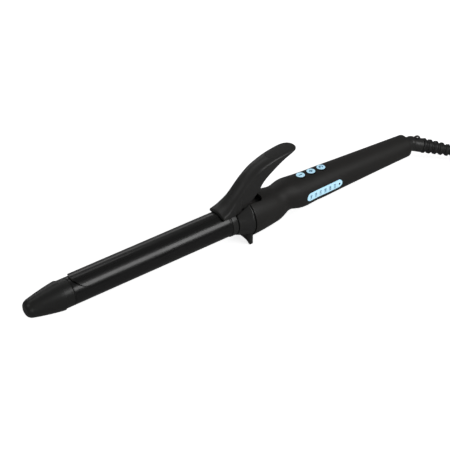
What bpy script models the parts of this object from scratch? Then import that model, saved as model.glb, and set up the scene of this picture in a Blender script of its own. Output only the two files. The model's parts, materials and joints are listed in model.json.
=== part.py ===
"""Spring-clamp curling iron with a one-inch barrel, built as separate parts.

Frame: the X axis is the barrel axis, with the cool tip towards -X and the cord towards +X. +Z is up, towards
the thumb lever and the buttons, and the display faces -Y. The origin is at the middle of the cool tip's flat
front end. The parts are drawn from the collar's front face, which is X = 0 in every size below, and hang on
an empty there. Sizes are in millimetres, and MM turns them into Blender's metres.
"""

import math

import bmesh
import bpy
from mathutils import Matrix, Vector

MM = 0.001
GAP = 0.3  # clearance left between neighbouring parts

# Barrel, cool tip and clamp blade
BARREL_R = 12.7
BARREL_WALL = 1.0
BARREL_FRONT = -168.0
BARREL_REAR = 5.0
TIP_END = -210.0
TIP_NECK = 8.4
BLADE_GAP = 0.35
BLADE_THICK = 1.2
BLADE_FRONT = -165.0
BLADE_REAR = -1.5
BLADE_HALF_ANGLE = math.radians(62)
COLLAR_REAR = 5.9
COLLAR_R = 13.4

# Guard, foot and handle
GUARD_FRONT = 6.6
GUARD_RIM = 20.9
GUARD_FRONT_R = 13.8
GUARD_RIM_R = 19.2
GUARD_WALL = 1.6
FOOT_HALF_WIDTH = 15.0
FOOT_BOTTOM = -23.6
FOOT_THICK = 2.6
SLOT_HALF = 9.4  # half width of the opening for the lever, through the guard and the handle
SLOT_END = 37.0
SLOT_CORNER = 4.0
HANDLE_FRONT = 21.4
HANDLE_REAR = 222.0
HANDLE_WALL = 2.2
PARTING_Z = -6.5
# Handle sections: each leans, so its top and its bottom have their own places along the axis.
# Top X, reach up from the barrel axis, bottom X, reach down, half width
HANDLE_SECTIONS = (
    (HANDLE_FRONT, 19.6, HANDLE_FRONT, 20.3, 19.95),
    (32.0, 18.6, 33.0, 19.8, 19.2),
    (41.0, 17.5, 46.0, 18.6, 18.1),
    (48.0, 16.6, 56.0, 17.2, 17.0),
    (52.5, 15.8, 62.5, 14.75, 15.6),
    (55.5, 15.6, 67.5, 12.2, 14.6),
    (58.5, 16.2, 71.5, 11.8, 14.4),
    (62.0, 17.2, 75.0, 12.6, 15.0),
    (66.0, 18.1, 79.0, 13.8, 15.7),
    (71.0, 18.5, 83.0, 14.8, 16.2),
    (78.0, 17.9, 88.0, 15.2, 16.3),
    (87.0, 17.0, 94.0, 14.95, 16.0),
    (99.0, 16.3, 101.0, 14.5, 15.4),
    (112.0, 15.85, 112.0, 14.45, 15.15),
    (133.0, 14.85, 133.0, 13.85, 14.35),
    (184.0, 12.45, 184.0, 12.75, 12.6),
    (HANDLE_REAR, 10.7, HANDLE_REAR, 12.2, 11.45),
)

# Thumb lever sections: top X and Z, bottom X and Z, half width and crown height
LEVER_SECTIONS = (
    (-9.4, 16.8, -9.4, 11.9, 11.0, 3.6),
    (-3.0, 19.9, -3.0, 11.2, 10.6, 5.0),
    (2.5, 24.2, 3.0, 10.2, 9.6, 6.2),
    (7.0, 28.2, 8.5, 9.4, 8.9, 7.0),
    (12.5, 33.5, 15.5, 10.2, 8.8, 7.0),
    (18.5, 39.4, 22.0, 16.8, 8.75, 6.8),
    (24.5, 44.3, 28.0, 21.6, 8.7, 6.4),
    (31.0, 48.2, 33.0, 27.0, 8.7, 5.6),
    (37.5, 50.8, 38.5, 33.9, 8.7, 4.8),
    (49.0, 53.9, 48.5, 41.2, 8.8, 3.8),
    (61.0, 55.4, 60.5, 48.2, 8.9, 2.8),
    (70.0, 55.9, 70.5, 51.5, 8.4, 1.8),
    (75.5, 55.5, 76.2, 52.3, 6.6, 1.2),
    (78.8, 54.3, 79.2, 52.8, 3.6, 0.6),
)
LEVER_WALL = 2.3
PAD_FRONT = 47.0
PAD_REAR = 75.0
PAD_HALF = 6.9
PAD_THICK = 1.3
PIVOT = Vector((14.0, 0.0, 14.0))
PIN_R = 1.5
CLAMP_SCREW_X = 8.6

# Controls
BUTTON_X = (88.6, 101.3, 113.7)
BUTTON_R = 4.35
BUTTON_PROUD = 0.7
BUTTON_TRAVEL = 0.6
WINDOW_X = 106.8
WINDOW_Z = 0.6
WINDOW_LONG = 44.0
WINDOW_WIDE = 8.0
BOARD_TOP = 5.6
BOARD_THICK = 1.6
BOARD_FRONT = 80.0
BOARD_REAR = 166.0
BOARD_HALF = 7.6

# Swivel and cord
SWIVEL_Z = -1.1
SHAFT_R = 5.0
ELBOW_X = 231.5
ELBOW_R = 7.6
# The cord's bend away from the X axis, and its roll about that axis
ELBOW_LEAVE = (math.radians(33.3), math.radians(65))
RELIEF_LEAVE = (math.radians(48.8), math.radians(75))
SLEEVE_END = 11.9
SLEEVE_R = 7.0
RELIEF_LONG = 45.0
RIB_PITCH = 6.2
CORD_STUB = 48.0
CORD_R = 3.2
LOOP_R = 2.7
LOOP_WIRE = 0.95
LOOP_ALONG = 4.5
LOOP_UP = 6.7

LOOKS = {
    "gloss_black": ((0.012, 0.012, 0.013), 0.16, 0.0),
    "matte_black": ((0.030, 0.030, 0.029), 0.50, 0.0),
    "soft_black": ((0.036, 0.034, 0.032), 0.62, 0.0),
    "light_blue": ((0.50, 0.74, 0.90), 0.35, 0.0),
    "rubber_black": ((0.020, 0.020, 0.020), 0.70, 0.0),
    "heat_plastic": ((0.08, 0.07, 0.06), 0.55, 0.0),
    "steel": ((0.62, 0.62, 0.63), 0.30, 1.0),
    "aluminium": ((0.72, 0.73, 0.74), 0.35, 1.0),
    "brass": ((0.75, 0.56, 0.25), 0.30, 1.0),
    "ceramic_white": ((0.80, 0.78, 0.72), 0.45, 0.0),
    "board_green": ((0.03, 0.22, 0.09), 0.45, 0.0),
    "part_yellow": ((0.72, 0.52, 0.08), 0.40, 0.0),
    "wire_red": ((0.45, 0.03, 0.02), 0.50, 0.0),
    "wire_blue": ((0.03, 0.09, 0.45), 0.50, 0.0),
    "wire_white": ((0.70, 0.70, 0.68), 0.50, 0.0),
}

ALONG_X = (0.0, math.radians(90), 0.0)  # turns an object's Z axis into world X
ALONG_Y = (math.radians(-90), 0.0, 0.0)  # turns an object's Z axis into world Y


# ---------------------------------------------------------------- building blocks


def clear_scene():
    for obj in list(bpy.data.objects):
        bpy.data.objects.remove(obj, do_unlink=True)


def new_collection(name):
    made = bpy.data.collections.new(name)
    bpy.context.scene.collection.children.link(made)
    return made


clear_scene()
PARTS = new_collection("curling_iron")
CUTTERS = new_collection("cutters")


def finish(obj, look):
    colour, roughness, metallic = LOOKS[look]
    material = bpy.data.materials.new(obj.name + "_" + look)
    material.use_nodes = True
    shader = material.node_tree.nodes["Principled BSDF"]
    shader.inputs["Base Color"].default_value = (*colour, 1.0)
    shader.inputs["Roughness"].default_value = roughness
    shader.inputs["Metallic"].default_value = metallic
    material.diffuse_color = (*colour, 1.0)
    obj.data.materials.append(material)


def place(name, data, look=None):
    """Makes an object of a part when it has a look, or of a cutter when it has none."""
    obj = bpy.data.objects.new(name, data)
    if look:
        PARTS.objects.link(obj)
        finish(obj, look)
    else:
        CUTTERS.objects.link(obj)
        obj.hide_render = True
        obj.display_type = "WIRE"
    return obj


def from_bmesh(name, bm, look, smooth_angle=35):
    bmesh.ops.recalc_face_normals(bm, faces=bm.faces)
    mesh = bpy.data.meshes.new(name)
    bm.to_mesh(mesh)
    bm.free()
    mesh.shade_smooth()
    mesh.set_sharp_from_angle(angle=math.radians(smooth_angle))
    return place(name, mesh, look)


def turned(name, profile, look=None, ring=False, steps=48, at=(0, 0, 0), turn=ALONG_X):
    """Turns (distance along the axis, radius) pairs, listed front to rear along the outside."""
    mesh = bpy.data.meshes.new(name)
    points = [(radius * MM, 0.0, along * MM) for along, radius in reversed(profile)]
    edges = [(i, i + 1) for i in range(len(points) - 1)]
    if ring:
        edges.append((len(points) - 1, 0))
    mesh.from_pydata(points, edges, [])
    obj = place(name, mesh, look)
    obj.location = Vector(at) * MM
    obj.rotation_euler = turn
    screw = obj.modifiers.new("turn", "SCREW")
    screw.angle = math.radians(360)
    screw.steps = steps
    screw.render_steps = steps
    screw.use_merge_vertices = True
    screw.merge_threshold = 0.00001
    screw.use_smooth_shade = True
    return obj


def block(name, size, centre, look=None, bevel=0.25):
    bm = bmesh.new()
    bmesh.ops.create_cube(bm, size=1.0, matrix=Matrix.Diagonal((*[s * MM for s in size], 1.0)))
    obj = from_bmesh(name, bm, look)
    obj.location = Vector(centre) * MM
    if bevel:
        edge = obj.modifiers.new("edges", "BEVEL")
        edge.width = bevel * MM
        edge.segments = 1
        edge.limit_method = "ANGLE"
    return obj


def rod(name, radius, start, end, look=None, sides=32):
    """A plain cylinder from one point to another."""
    start = Vector(start) * MM
    end = Vector(end) * MM
    bm = bmesh.new()
    wide = radius * MM
    long = (end - start).length
    bmesh.ops.create_cone(bm, cap_ends=True, segments=sides, radius1=wide, radius2=wide, depth=long)
    obj = from_bmesh(name, bm, look)
    obj.location = (start + end) / 2
    obj.rotation_euler = (end - start).to_track_quat("Z", "Y").to_euler()
    return obj


def wire(name, points, radius, look):
    """A tube along straight stretches, with closed ends."""
    curve = bpy.data.curves.new(name, "CURVE")
    curve.dimensions = "3D"
    curve.bevel_depth = radius * MM
    curve.bevel_resolution = 2
    curve.use_fill_caps = True
    spline = curve.splines.new("POLY")
    spline.points.add(len(points) - 1)
    for knot, point in zip(spline.points, points):
        knot.co = (*(Vector(point) * MM), 1.0)
    return place(name, curve, look)


def loft(name, rings, look=None, closed=False, smooth_angle=35):
    """A closed skin over rings of the same number of points: capped at both ends, or joined end to end."""
    bm = bmesh.new()
    rows = [[bm.verts.new(Vector(point) * MM) for point in ring] for ring in rings]
    pairs = list(zip(rows, rows[1:]))
    if closed:
        pairs.append((rows[-1], rows[0]))
    else:
        bm.faces.new(rows[0])
        bm.faces.new(rows[-1])
    for low, high in pairs:
        for i in range(len(low)):
            j = (i + 1) % len(low)
            bm.faces.new((low[i], low[j], high[j], high[i]))
    return from_bmesh(name, bm, look, smooth_angle)


def prism(name, outline, plane, low, high, look=None):
    """A flat outline in the XY, XZ or YZ plane, drawn out along the third axis from low to high."""
    lifts = {
        "XY": lambda a, b, c: (a, b, c),
        "XZ": lambda a, b, c: (a, c, b),
        "YZ": lambda a, b, c: (c, a, b),
    }
    lift = lifts[plane]
    bm = bmesh.new()
    face = bm.faces.new([bm.verts.new(Vector(lift(a, b, low)) * MM) for a, b in outline])
    moved = bmesh.ops.extrude_face_region(bm, geom=[face])["geom"]
    step = Vector(lift(0, 0, high - low)) * MM
    bmesh.ops.translate(bm, vec=step, verts=[v for v in moved if isinstance(v, bmesh.types.BMVert)])
    return from_bmesh(name, bm, look)


def boolean(target, tool, operation):
    step = target.modifiers.new(tool.name, "BOOLEAN")
    step.operation = operation
    step.solver = "EXACT"
    step.object = tool


def cut(target, *tools):
    for tool in tools:
        boolean(target, tool, "DIFFERENCE")


def join(target, *tools):
    for tool in tools:
        boolean(target, tool, "UNION")


def stadium(centre, long, wide, steps=10):
    """A pill outline whose long side runs along its first axis."""
    half = (long - wide) / 2
    points = []
    for side, start in ((1, -90), (-1, 90)):
        for i in range(steps + 1):
            angle = math.radians(start + 180 * i / steps)
            x = centre[0] + side * half + wide / 2 * math.cos(angle)
            points.append((x, centre[1] + wide / 2 * math.sin(angle)))
    return points


def smooth_value(table, x, column, key=0):
    """A smooth curve through a table's column, by its key column."""
    last = len(table) - 1
    k = max(i for i in range(last) if i == 0 or table[i][key] <= x)
    x0, x1 = table[k][key], table[k + 1][key]
    t = min(max((x - x0) / (x1 - x0), 0.0), 1.0)

    def slope(i):
        a, b = max(i - 1, 0), min(i + 1, last)
        return (table[b][column] - table[a][column]) / (table[b][key] - table[a][key])

    start_rise = slope(k) * (x1 - x0)
    end_rise = slope(k + 1) * (x1 - x0)
    y0, y1 = table[k][column], table[k + 1][column]
    ends = (2 * t**3 - 3 * t**2 + 1) * y0 + (3 * t**2 - 2 * t**3) * y1
    return ends + (t**3 - 2 * t**2 + t) * start_rise + (t**3 - t**2) * end_rise


def handle_top(x):
    return smooth_value(HANDLE_SECTIONS, x, 1, key=0)


def handle_bottom(x):
    return smooth_value(HANDLE_SECTIONS, x, 3, key=2)


def handle_ring(section, inset, sides=40):
    """A leaning oval section of the handle, drawn in by inset."""
    top_x, up, bottom_x, down, half = section
    top = Vector((top_x, 0, up))
    bottom = Vector((bottom_x, 0, -down))
    middle = (top + bottom) / 2
    rise = (top - bottom) / 2 * (1 - 2 * inset / (up + down))
    across = Vector((0, half - inset, 0))
    angles = [2 * math.pi * (i + 0.5) / sides for i in range(sides)]
    return [middle + rise * math.cos(a) + across * math.sin(a) for a in angles]


def upright_section(x):
    """The handle's section straight across the axis at x, beyond the leaning ones."""
    return (x, handle_top(x), x, handle_bottom(x), (handle_top(x) + handle_bottom(x)) / 2)


def steps_between(low, high, count):
    return [low + (high - low) * i / count for i in range(count + 1)]


# ---------------------------------------------------------------- barrel and cool tip


def build_barrel():
    inner = BARREL_R - BARREL_WALL
    front = BARREL_FRONT + GAP
    tube = [(front, inner), (front, BARREL_R), (BARREL_REAR, BARREL_R), (BARREL_REAR, inner)]
    turned("barrel", tube, "gloss_black", ring=True, steps=64)
    collar = [
        (0.0, BARREL_R + GAP),
        (0.0, COLLAR_R - 0.3),
        (0.4, COLLAR_R),
        (COLLAR_REAR - 0.4, COLLAR_R),
        (COLLAR_REAR, COLLAR_R - 0.4),
        (COLLAR_REAR, 9.8),
        (BARREL_REAR + GAP, 9.8),
        (BARREL_REAR + GAP, BARREL_R + GAP),
    ]
    turned("barrel_collar", collar, "matte_black", ring=True)
    holder = [
        (-16.0, 7.0),
        (-16.0, 11.4),
        (BARREL_REAR, 11.4),
        (BARREL_REAR, 9.5),
        (HANDLE_FRONT - 0.6, 9.5),
        (HANDLE_FRONT - 0.6, 11.0),
        (24.2, 11.0),
        (24.2, 13.2),
        (27.5, 13.2),
        (27.5, 11.0),
        (46.0, 11.0),
        (46.0, 7.0),
    ]
    turned("barrel_holder", holder, "heat_plastic", ring=True, steps=40)


def build_cool_tip():
    step = BARREL_FRONT - TIP_NECK
    outside = [
        (TIP_END, 0.0),
        (TIP_END, 3.6),
        (TIP_END + 0.5, 5.2),
        (TIP_END + 1.7, 6.7),
        (TIP_END + 4.0, 8.1),
        (-202.0, 9.1),
        (-197.7, 10.05),
        (-193.2, 10.9),
        (-188.8, 11.7),
        (-183.9, 12.5),
        (-179.6, 13.15),
        (step - 0.5, 13.5),
        (step, 13.4),
        (step, BARREL_R),
        (BARREL_FRONT, BARREL_R),
        (BARREL_FRONT, BARREL_R - BARREL_WALL - GAP),
        (BARREL_FRONT + 9.0, BARREL_R - BARREL_WALL - GAP),
        (BARREL_FRONT + 9.0, 9.6),
        (-198.0, 5.5),
        (-198.0, 1.0),
        (-204.0, 1.0),
        (-204.0, 0.0),
    ]
    turned("cool_tip", outside, "matte_black", steps=40)
    bracket = [(-199.9 + 2.5, 2.0), (-197.4, 4.9), (-196.2, 4.9), (-196.2, 2.0)]
    turned("tip_bracket", bracket, "steel", ring=True, steps=24)
    screw = [(-203.2, 0.0), (-203.2, 0.7), (-197.2, 0.7), (-195.9, 0.8), (-195.9, 3.0), (-194.5, 2.4)]
    screw.append((-194.5, 0.0))
    turned("tip_screw", screw, "steel", steps=20)


def half_round(name, radius, flat, low, high, side):
    """Half of a round bar, with its flat face a little way off the axis."""
    start = math.asin(flat / radius)
    angles = [start + (math.pi - 2 * start) * i / 14 for i in range(15)]
    outline = [(radius * math.cos(a), side * radius * math.sin(a)) for a in angles]
    return prism(name, outline, "YZ", low, high, "aluminium")


def build_heater():
    spread_r = BARREL_R - BARREL_WALL - GAP
    half_round("heat_spreader_upper", spread_r, 1.9, -155.0, -30.0, 1)
    half_round("heat_spreader_lower", spread_r, 1.9, -155.0, -30.0, -1)
    block("ptc_heater", (112, 9, 1.8), (-92.5, 0, 0), "ceramic_white", bevel=0.2)
    for name, side in (("electrode_upper", 1), ("electrode_lower", -1)):
        block(name, (122, 7, 0.4), (-88, 0, side * 1.35), "brass", bevel=0)
    rod("thermistor", 0.9, (-26, 0, 5), (-22, 0, 5), "ceramic_white", sides=12)
    rod("thermal_fuse", 1.9, (-12, -3.6, 0), (0, -3.6, 0), "steel", sides=16)
    wire(
        "lead_live",
        [(-24.5, 0.8, 1.35), (-19, 3.8, 2.5), (10, 4.2, 2.5), (50, 4.8, 1), (78, 5.2, 1.6)],
        0.75,
        "wire_red",
    )
    wire(
        "lead_neutral",
        [(-24.5, -0.8, -1.35), (-19, 1.5, -4.2), (10, 1.5, -4.4), (50, 5.2, -4), (78, 5.4, -2.4)],
        0.75,
        "wire_blue",
    )
    wire("sensor_lead", [(-20.8, 0, 5), (10, 0, 5.4), (48, -4.6, 3), (78, -5.2, 2.2)], 0.5, "wire_white")


# ---------------------------------------------------------------- clamp


def lever_ring(section, sides=14):
    """A section of the lever: an arched top over upright sides and a flat underside."""
    top_x, top_z, bottom_x, bottom_z, half, crown = section
    top = Vector((top_x, 0, top_z))
    bottom = Vector((bottom_x, 0, bottom_z))
    up = (top - bottom).normalized()
    across = Vector((0, 1, 0))
    arch = top - up * crown
    chamfer = min(0.5, ((top - bottom).length - crown) / 2)
    ring = [bottom - across * (half - chamfer), bottom + across * (half - chamfer)]
    ring.append(bottom + across * half + up * chamfer)
    for i in range(sides + 1):
        angle = math.pi * i / sides
        ring.append(arch + across * half * math.cos(angle) + up * crown * math.sin(angle))
    ring.append(bottom - across * half + up * chamfer)
    return ring


def lever_form(name, look=None, drop=0.0):
    """The lever's solid outer form, lowered by drop."""
    form = loft(name, [lever_ring(section) for section in LEVER_SECTIONS], look)
    form.location.z = -drop * MM
    return form


def build_blade():
    inner = BARREL_R + BLADE_GAP
    sides, rows = 20, 24
    bm = bmesh.new()
    grid = []
    for r in range(rows + 1):
        row = []
        for s in range(sides + 1):
            across = -1 + 2 * s / sides
            # The front end is rounded: the sheet starts further back towards its two long edges.
            front = BLADE_FRONT + 11.0 * (1 - math.sqrt(max(1 - across**2, 0.0)))
            along = (r / rows) ** 2
            x = front + (BLADE_REAR - front) * along
            narrowing = 1 - 0.12 * max(0.0, (x + 60) / 60) ** 2
            angle = across * BLADE_HALF_ANGLE * narrowing
            row.append(bm.verts.new(Vector((x, inner * math.sin(angle), inner * math.cos(angle))) * MM))
        grid.append(row)
    for low, high in zip(grid, grid[1:]):
        for s in range(sides):
            bm.faces.new((low[s], high[s], high[s + 1], low[s + 1]))
    blade = from_bmesh("clamp_blade", bm, "gloss_black")
    skin = blade.modifiers.new("sheet", "SOLIDIFY")
    skin.thickness = BLADE_THICK * MM
    skin.offset = 1.0
    top = inner + BLADE_THICK
    tongue = block("blade_tongue", (15.6, 8.8, 1.1), (2.8, 0, top + 0.3), bevel=0)
    join(blade, tongue)
    hole = rod("blade_screw_hole", 1.4, (CLAMP_SCREW_X, 0, top - 2), (CLAMP_SCREW_X, 0, top + 2), sides=20)
    cut(blade, hole)


def build_lever():
    lever = lever_form("clamp_lever", "matte_black")
    tunnel = BARREL_R + BLADE_GAP + BLADE_THICK + GAP
    around_barrel = rod("lever_barrel_room", tunnel, (-14, 0, 0), (9.5, 0, 0), sides=48)
    channel = [
        (-5.6, 4),
        (-5.6, 15.4),
        (1.0, 19.4),
        (7.0, 24.6),
        (14.0, 31.0),
        (20.0, 36.4),
        (27.0, 41.6),
        (33.0, 44.6),
        (37.5, 43.0),
        (36.0, 28.0),
        (24.0, 14.0),
        (17.0, 4),
    ]
    room = 8.8 - LEVER_WALL
    hollow = prism("lever_channel", channel, "XZ", -room, room)
    bore = rod("lever_bore", PIN_R + 0.2, (PIVOT.x, -12, PIVOT.z), (PIVOT.x, 12, PIVOT.z), sides=28)
    boss = rod("lever_boss", 2.5, (CLAMP_SCREW_X, 0, 16.2), (CLAMP_SCREW_X, 0, 27.5), sides=24)
    boss_hole = rod("lever_boss_hole", 1.3, (CLAMP_SCREW_X, 0, 14), (CLAMP_SCREW_X, 0, 20.8), sides=20)
    cut(lever, around_barrel, hollow, bore)
    join(lever, boss)
    cut(lever, boss_hole)
    screw = [(12.2, 0.0), (12.2, 1.6), (12.5, 1.9), (13.5, 1.9), (13.7, 1.0), (20.2, 1.0), (20.2, 0.0)]
    turned("clamp_screw", screw, "steel", steps=20, at=(CLAMP_SCREW_X, 0, 0), turn=(0, 0, 0))
    # The thumb pad is the lever's own top skin within a pill outline, and the lever has a pocket for it.
    centre = ((PAD_FRONT + PAD_REAR) / 2, 0)
    long = PAD_REAR - PAD_FRONT
    pad = prism("thumb_pad", stadium(centre, long, 2 * PAD_HALF), "XY", 40, 60, "rubber_black")
    boolean(pad, lever_form("pad_top_form"), "INTERSECT")
    cut(pad, lever_form("pad_floor_form", drop=PAD_THICK))
    pocket = prism("pad_pocket", stadium(centre, long + 2 * GAP, 2 * (PAD_HALF + GAP)), "XY", 40, 60)
    cut(pocket, lever_form("pocket_floor_form", drop=PAD_THICK + GAP))
    cut(lever, pocket)


def build_pivot():
    ear = [(9.8, 9.9), (18.2, 9.9)]
    for i in range(7):
        angle = math.radians(30 * i)
        ear.append((PIVOT.x + 3.2 * math.cos(angle), PIVOT.z + 3.2 * math.sin(angle)))
    bracket = prism("pivot_bracket", ear, "XZ", -5.9, 5.9, "steel")
    inside = block("bracket_inside", (20, 9.6, 12), (14, 0, 16.9), bevel=0)
    bore = rod("bracket_bore", PIN_R + 0.15, (PIVOT.x, -8, PIVOT.z), (PIVOT.x, 8, PIVOT.z), sides=24)
    cut(bracket, inside, bore)
    reach = 8.6
    pin = [(-reach, 0.0), (-reach, PIN_R - 0.3), (-reach + 0.3, PIN_R)]
    pin += [(reach - 0.3, PIN_R), (reach, PIN_R - 0.3), (reach, 0.0)]
    turned("pivot_pin", pin, "steel", steps=24, at=tuple(PIVOT), turn=ALONG_Y)
    # The upper leg is drawn where it lies with the lever pressed, so it never meets the lever.
    coil_r, wire_r, first, last, per_turn = 2.45, 0.5, 128, 270 + 3 * 360, 14
    steps = round((last - first) / 360 * per_turn)
    points = [(25.5, 3.2, 26.1)]
    for i in range(steps + 1):
        angle = math.radians(first + (last - first) * i / steps)
        y = 3.2 - 6.4 * i / steps
        points.append((PIVOT.x + coil_r * math.cos(angle), y, PIVOT.z + coil_r * math.sin(angle)))
    points.append((20.5, -3.2, PIVOT.z - coil_r - 0.1))
    wire("clamp_spring", points, wire_r, "steel")


# ---------------------------------------------------------------- guard and handle


def build_guard():
    inner_front = GUARD_FRONT_R - GUARD_WALL
    shell = [
        (GUARD_FRONT, inner_front),
        (GUARD_FRONT, GUARD_FRONT_R - 0.4),
        (GUARD_FRONT + 0.4, GUARD_FRONT_R),
        (GUARD_RIM - 2.2, GUARD_RIM_R - 0.7),
        (GUARD_RIM - 1.4, GUARD_RIM_R),
        (GUARD_RIM - 0.3, GUARD_RIM_R),
        (GUARD_RIM, GUARD_RIM_R - 0.3),
        (GUARD_RIM, 11.4),
        (GUARD_RIM - 1.8, 11.4),
        (GUARD_RIM - 1.8, GUARD_RIM_R - GUARD_WALL - 0.6),
    ]
    guard = turned("guard_stand", shell, "matte_black", ring=True, steps=56)
    half = FOOT_HALF_WIDTH
    ground = FOOT_BOTTOM
    right = [(4.0, ground + 2.6), (8.0, ground + 2.1), (10.8, ground + 1.1), (12.0, ground)]
    right += [(half - 0.8, ground), (half, ground + 0.9), (half, -11.4), (11.2, -11.4)]
    arch = [(9.0, -13.6), (5.0, -16.2), (0.0, -17.2)]
    outline = right + arch + [(-y, z) for y, z in reversed(right + arch[:-1])]
    foot = prism("guard_foot", outline, "YZ", GUARD_RIM - 0.2 - FOOT_THICK, GUARD_RIM - 0.2)
    opening = block("guard_opening", (30, 2 * SLOT_HALF, 20), (14, 0, 16), bevel=0)
    join(guard, foot)
    cut(guard, opening)


def handle_skin(name, look):
    """The handle's outer form, with softened front and rear edges."""
    first, last = HANDLE_SECTIONS[0], HANDLE_SECTIONS[-1]
    rings = [handle_ring(first, 0.7)]
    rings.append(handle_ring((first[0] + 0.8, first[1], first[2] + 0.8, *first[3:]), 0.0))
    rings += [handle_ring(section, 0.0) for section in HANDLE_SECTIONS[1:-1]]
    for back, draw in ((1.0, 0.0), (0.3, 0.3), (0.0, 1.0)):
        rings.append(handle_ring((last[0] - back, last[1], last[2] - back, *last[3:]), draw))
    return loft(name, rings, look)


def handle_core(name, inset, low, high):
    """The handle's form drawn in by inset, between two places along the axis."""
    inner = [section for section in HANDLE_SECTIONS if section[0] > low + 1 and section[2] < high - 1]
    sections = [upright_section(low), *inner, upright_section(high)]
    return loft(name, [handle_ring(section, inset) for section in sections])


def slot_outline():
    """The lever's opening from above: open at the front, with two rounded corners at its rear."""
    middle = SLOT_END - SLOT_CORNER
    side = SLOT_HALF - SLOT_CORNER
    outline = [(HANDLE_FRONT - 10, -SLOT_HALF)]
    for start, y in ((-90, -side), (0, side)):
        for turn in steps_between(start, start + 90, 5):
            angle = math.radians(turn)
            outline.append((middle + SLOT_CORNER * math.cos(angle), y + SLOT_CORNER * math.sin(angle)))
    return [*outline, (HANDLE_FRONT - 10, SLOT_HALF)]


def screw_stack(x):
    """The heights of a case screw's head and thread at x."""
    return -handle_bottom(x) + 2.4, -2.0


def build_handle():
    upper = handle_skin("handle_upper", "soft_black")
    lower = handle_skin("handle_lower", "soft_black")
    cavity = handle_core("handle_cavity", HANDLE_WALL, 23.9, 216.4)
    nose = rod("handle_nose_hole", 11.0 + GAP, (18, 0, 0), (26, 0, 0), sides=44)
    tail = rod("handle_tail_hole", SHAFT_R + GAP, (214, 0, SWIVEL_Z), (224, 0, SWIVEL_Z), sides=40)
    below = block("below_parting", (260, 60, 40), (120, 0, PARTING_Z - 20), bevel=0)
    above = block("above_parting", (260, 60, 60), (120, 0, PARTING_Z - GAP + 30), bevel=0)
    slot = prism("lever_slot", slot_outline(), "XY", 10.6, 40.0)
    hole = BUTTON_R + GAP
    buttons = [rod(f"button_hole_{i}", hole, (x, 0, 5), (x, 0, 25), sides=32) for i, x in enumerate(BUTTON_X)]
    pill = stadium((WINDOW_X, WINDOW_Z), WINDOW_LONG + 2 * GAP, WINDOW_WIDE + 2 * GAP)
    window_hole = prism("window_hole", pill, "XZ", -25, -6)
    cut(upper, cavity, below, nose, tail, slot, window_hole, *buttons)
    cut(lower, cavity, above, nose, tail)
    for place_name, x in (("front", 60.0), ("rear", 174.0)):
        head, tip = screw_stack(x)
        top = handle_top(x) - 1.0
        post = rod(f"upper_post_{place_name}", 3.0, (x, 0, PARTING_Z + 0.1), (x, 0, top), sides=20)
        thread = rod(f"upper_thread_{place_name}", 1.3, (x, 0, PARTING_Z - 1), (x, 0, tip + 1.5), sides=16)
        floor = 1.1 - handle_bottom(x)
        seat = rod(f"lower_seat_{place_name}", 4.2, (x, 0, floor), (x, 0, PARTING_Z - 1.0), sides=20)
        bore = rod(f"lower_bore_{place_name}", 1.7, (x, 0, -30), (x, 0, 0), sides=16)
        well = rod(f"lower_well_{place_name}", 2.9, (x, 0, -30), (x, 0, head), sides=20)
        join(upper, post)
        cut(upper, thread)
        join(lower, seat)
        cut(lower, bore, well)
        under = head - GAP
        shape = [(head - 1.7, 0.0), (head - 1.7, 2.2), (head - 1.4, 2.6), (under, 2.6), (under, 1.0)]
        shape += [(tip, 1.0), (tip + 0.8, 0.3), (tip + 0.8, 0.0)]
        turned(f"handle_screw_{place_name}", shape, "steel", steps=20, at=(x, 0, 0), turn=(0, 0, 0))
    for place_name, x in (("front", 124.0), ("rear", 158.0)):
        foot = BOARD_TOP + GAP
        post = rod(f"board_post_{place_name}", 2.3, (x, 0, foot), (x, 0, handle_top(x) - 1.0), sides=18)
        join(upper, post)
        hole = rod(f"board_post_hole_{place_name}", 1.0, (x, 0, BOARD_TOP), (x, 0, BOARD_TOP + 4.5), sides=14)
        cut(upper, hole)


# ---------------------------------------------------------------- controls


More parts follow.
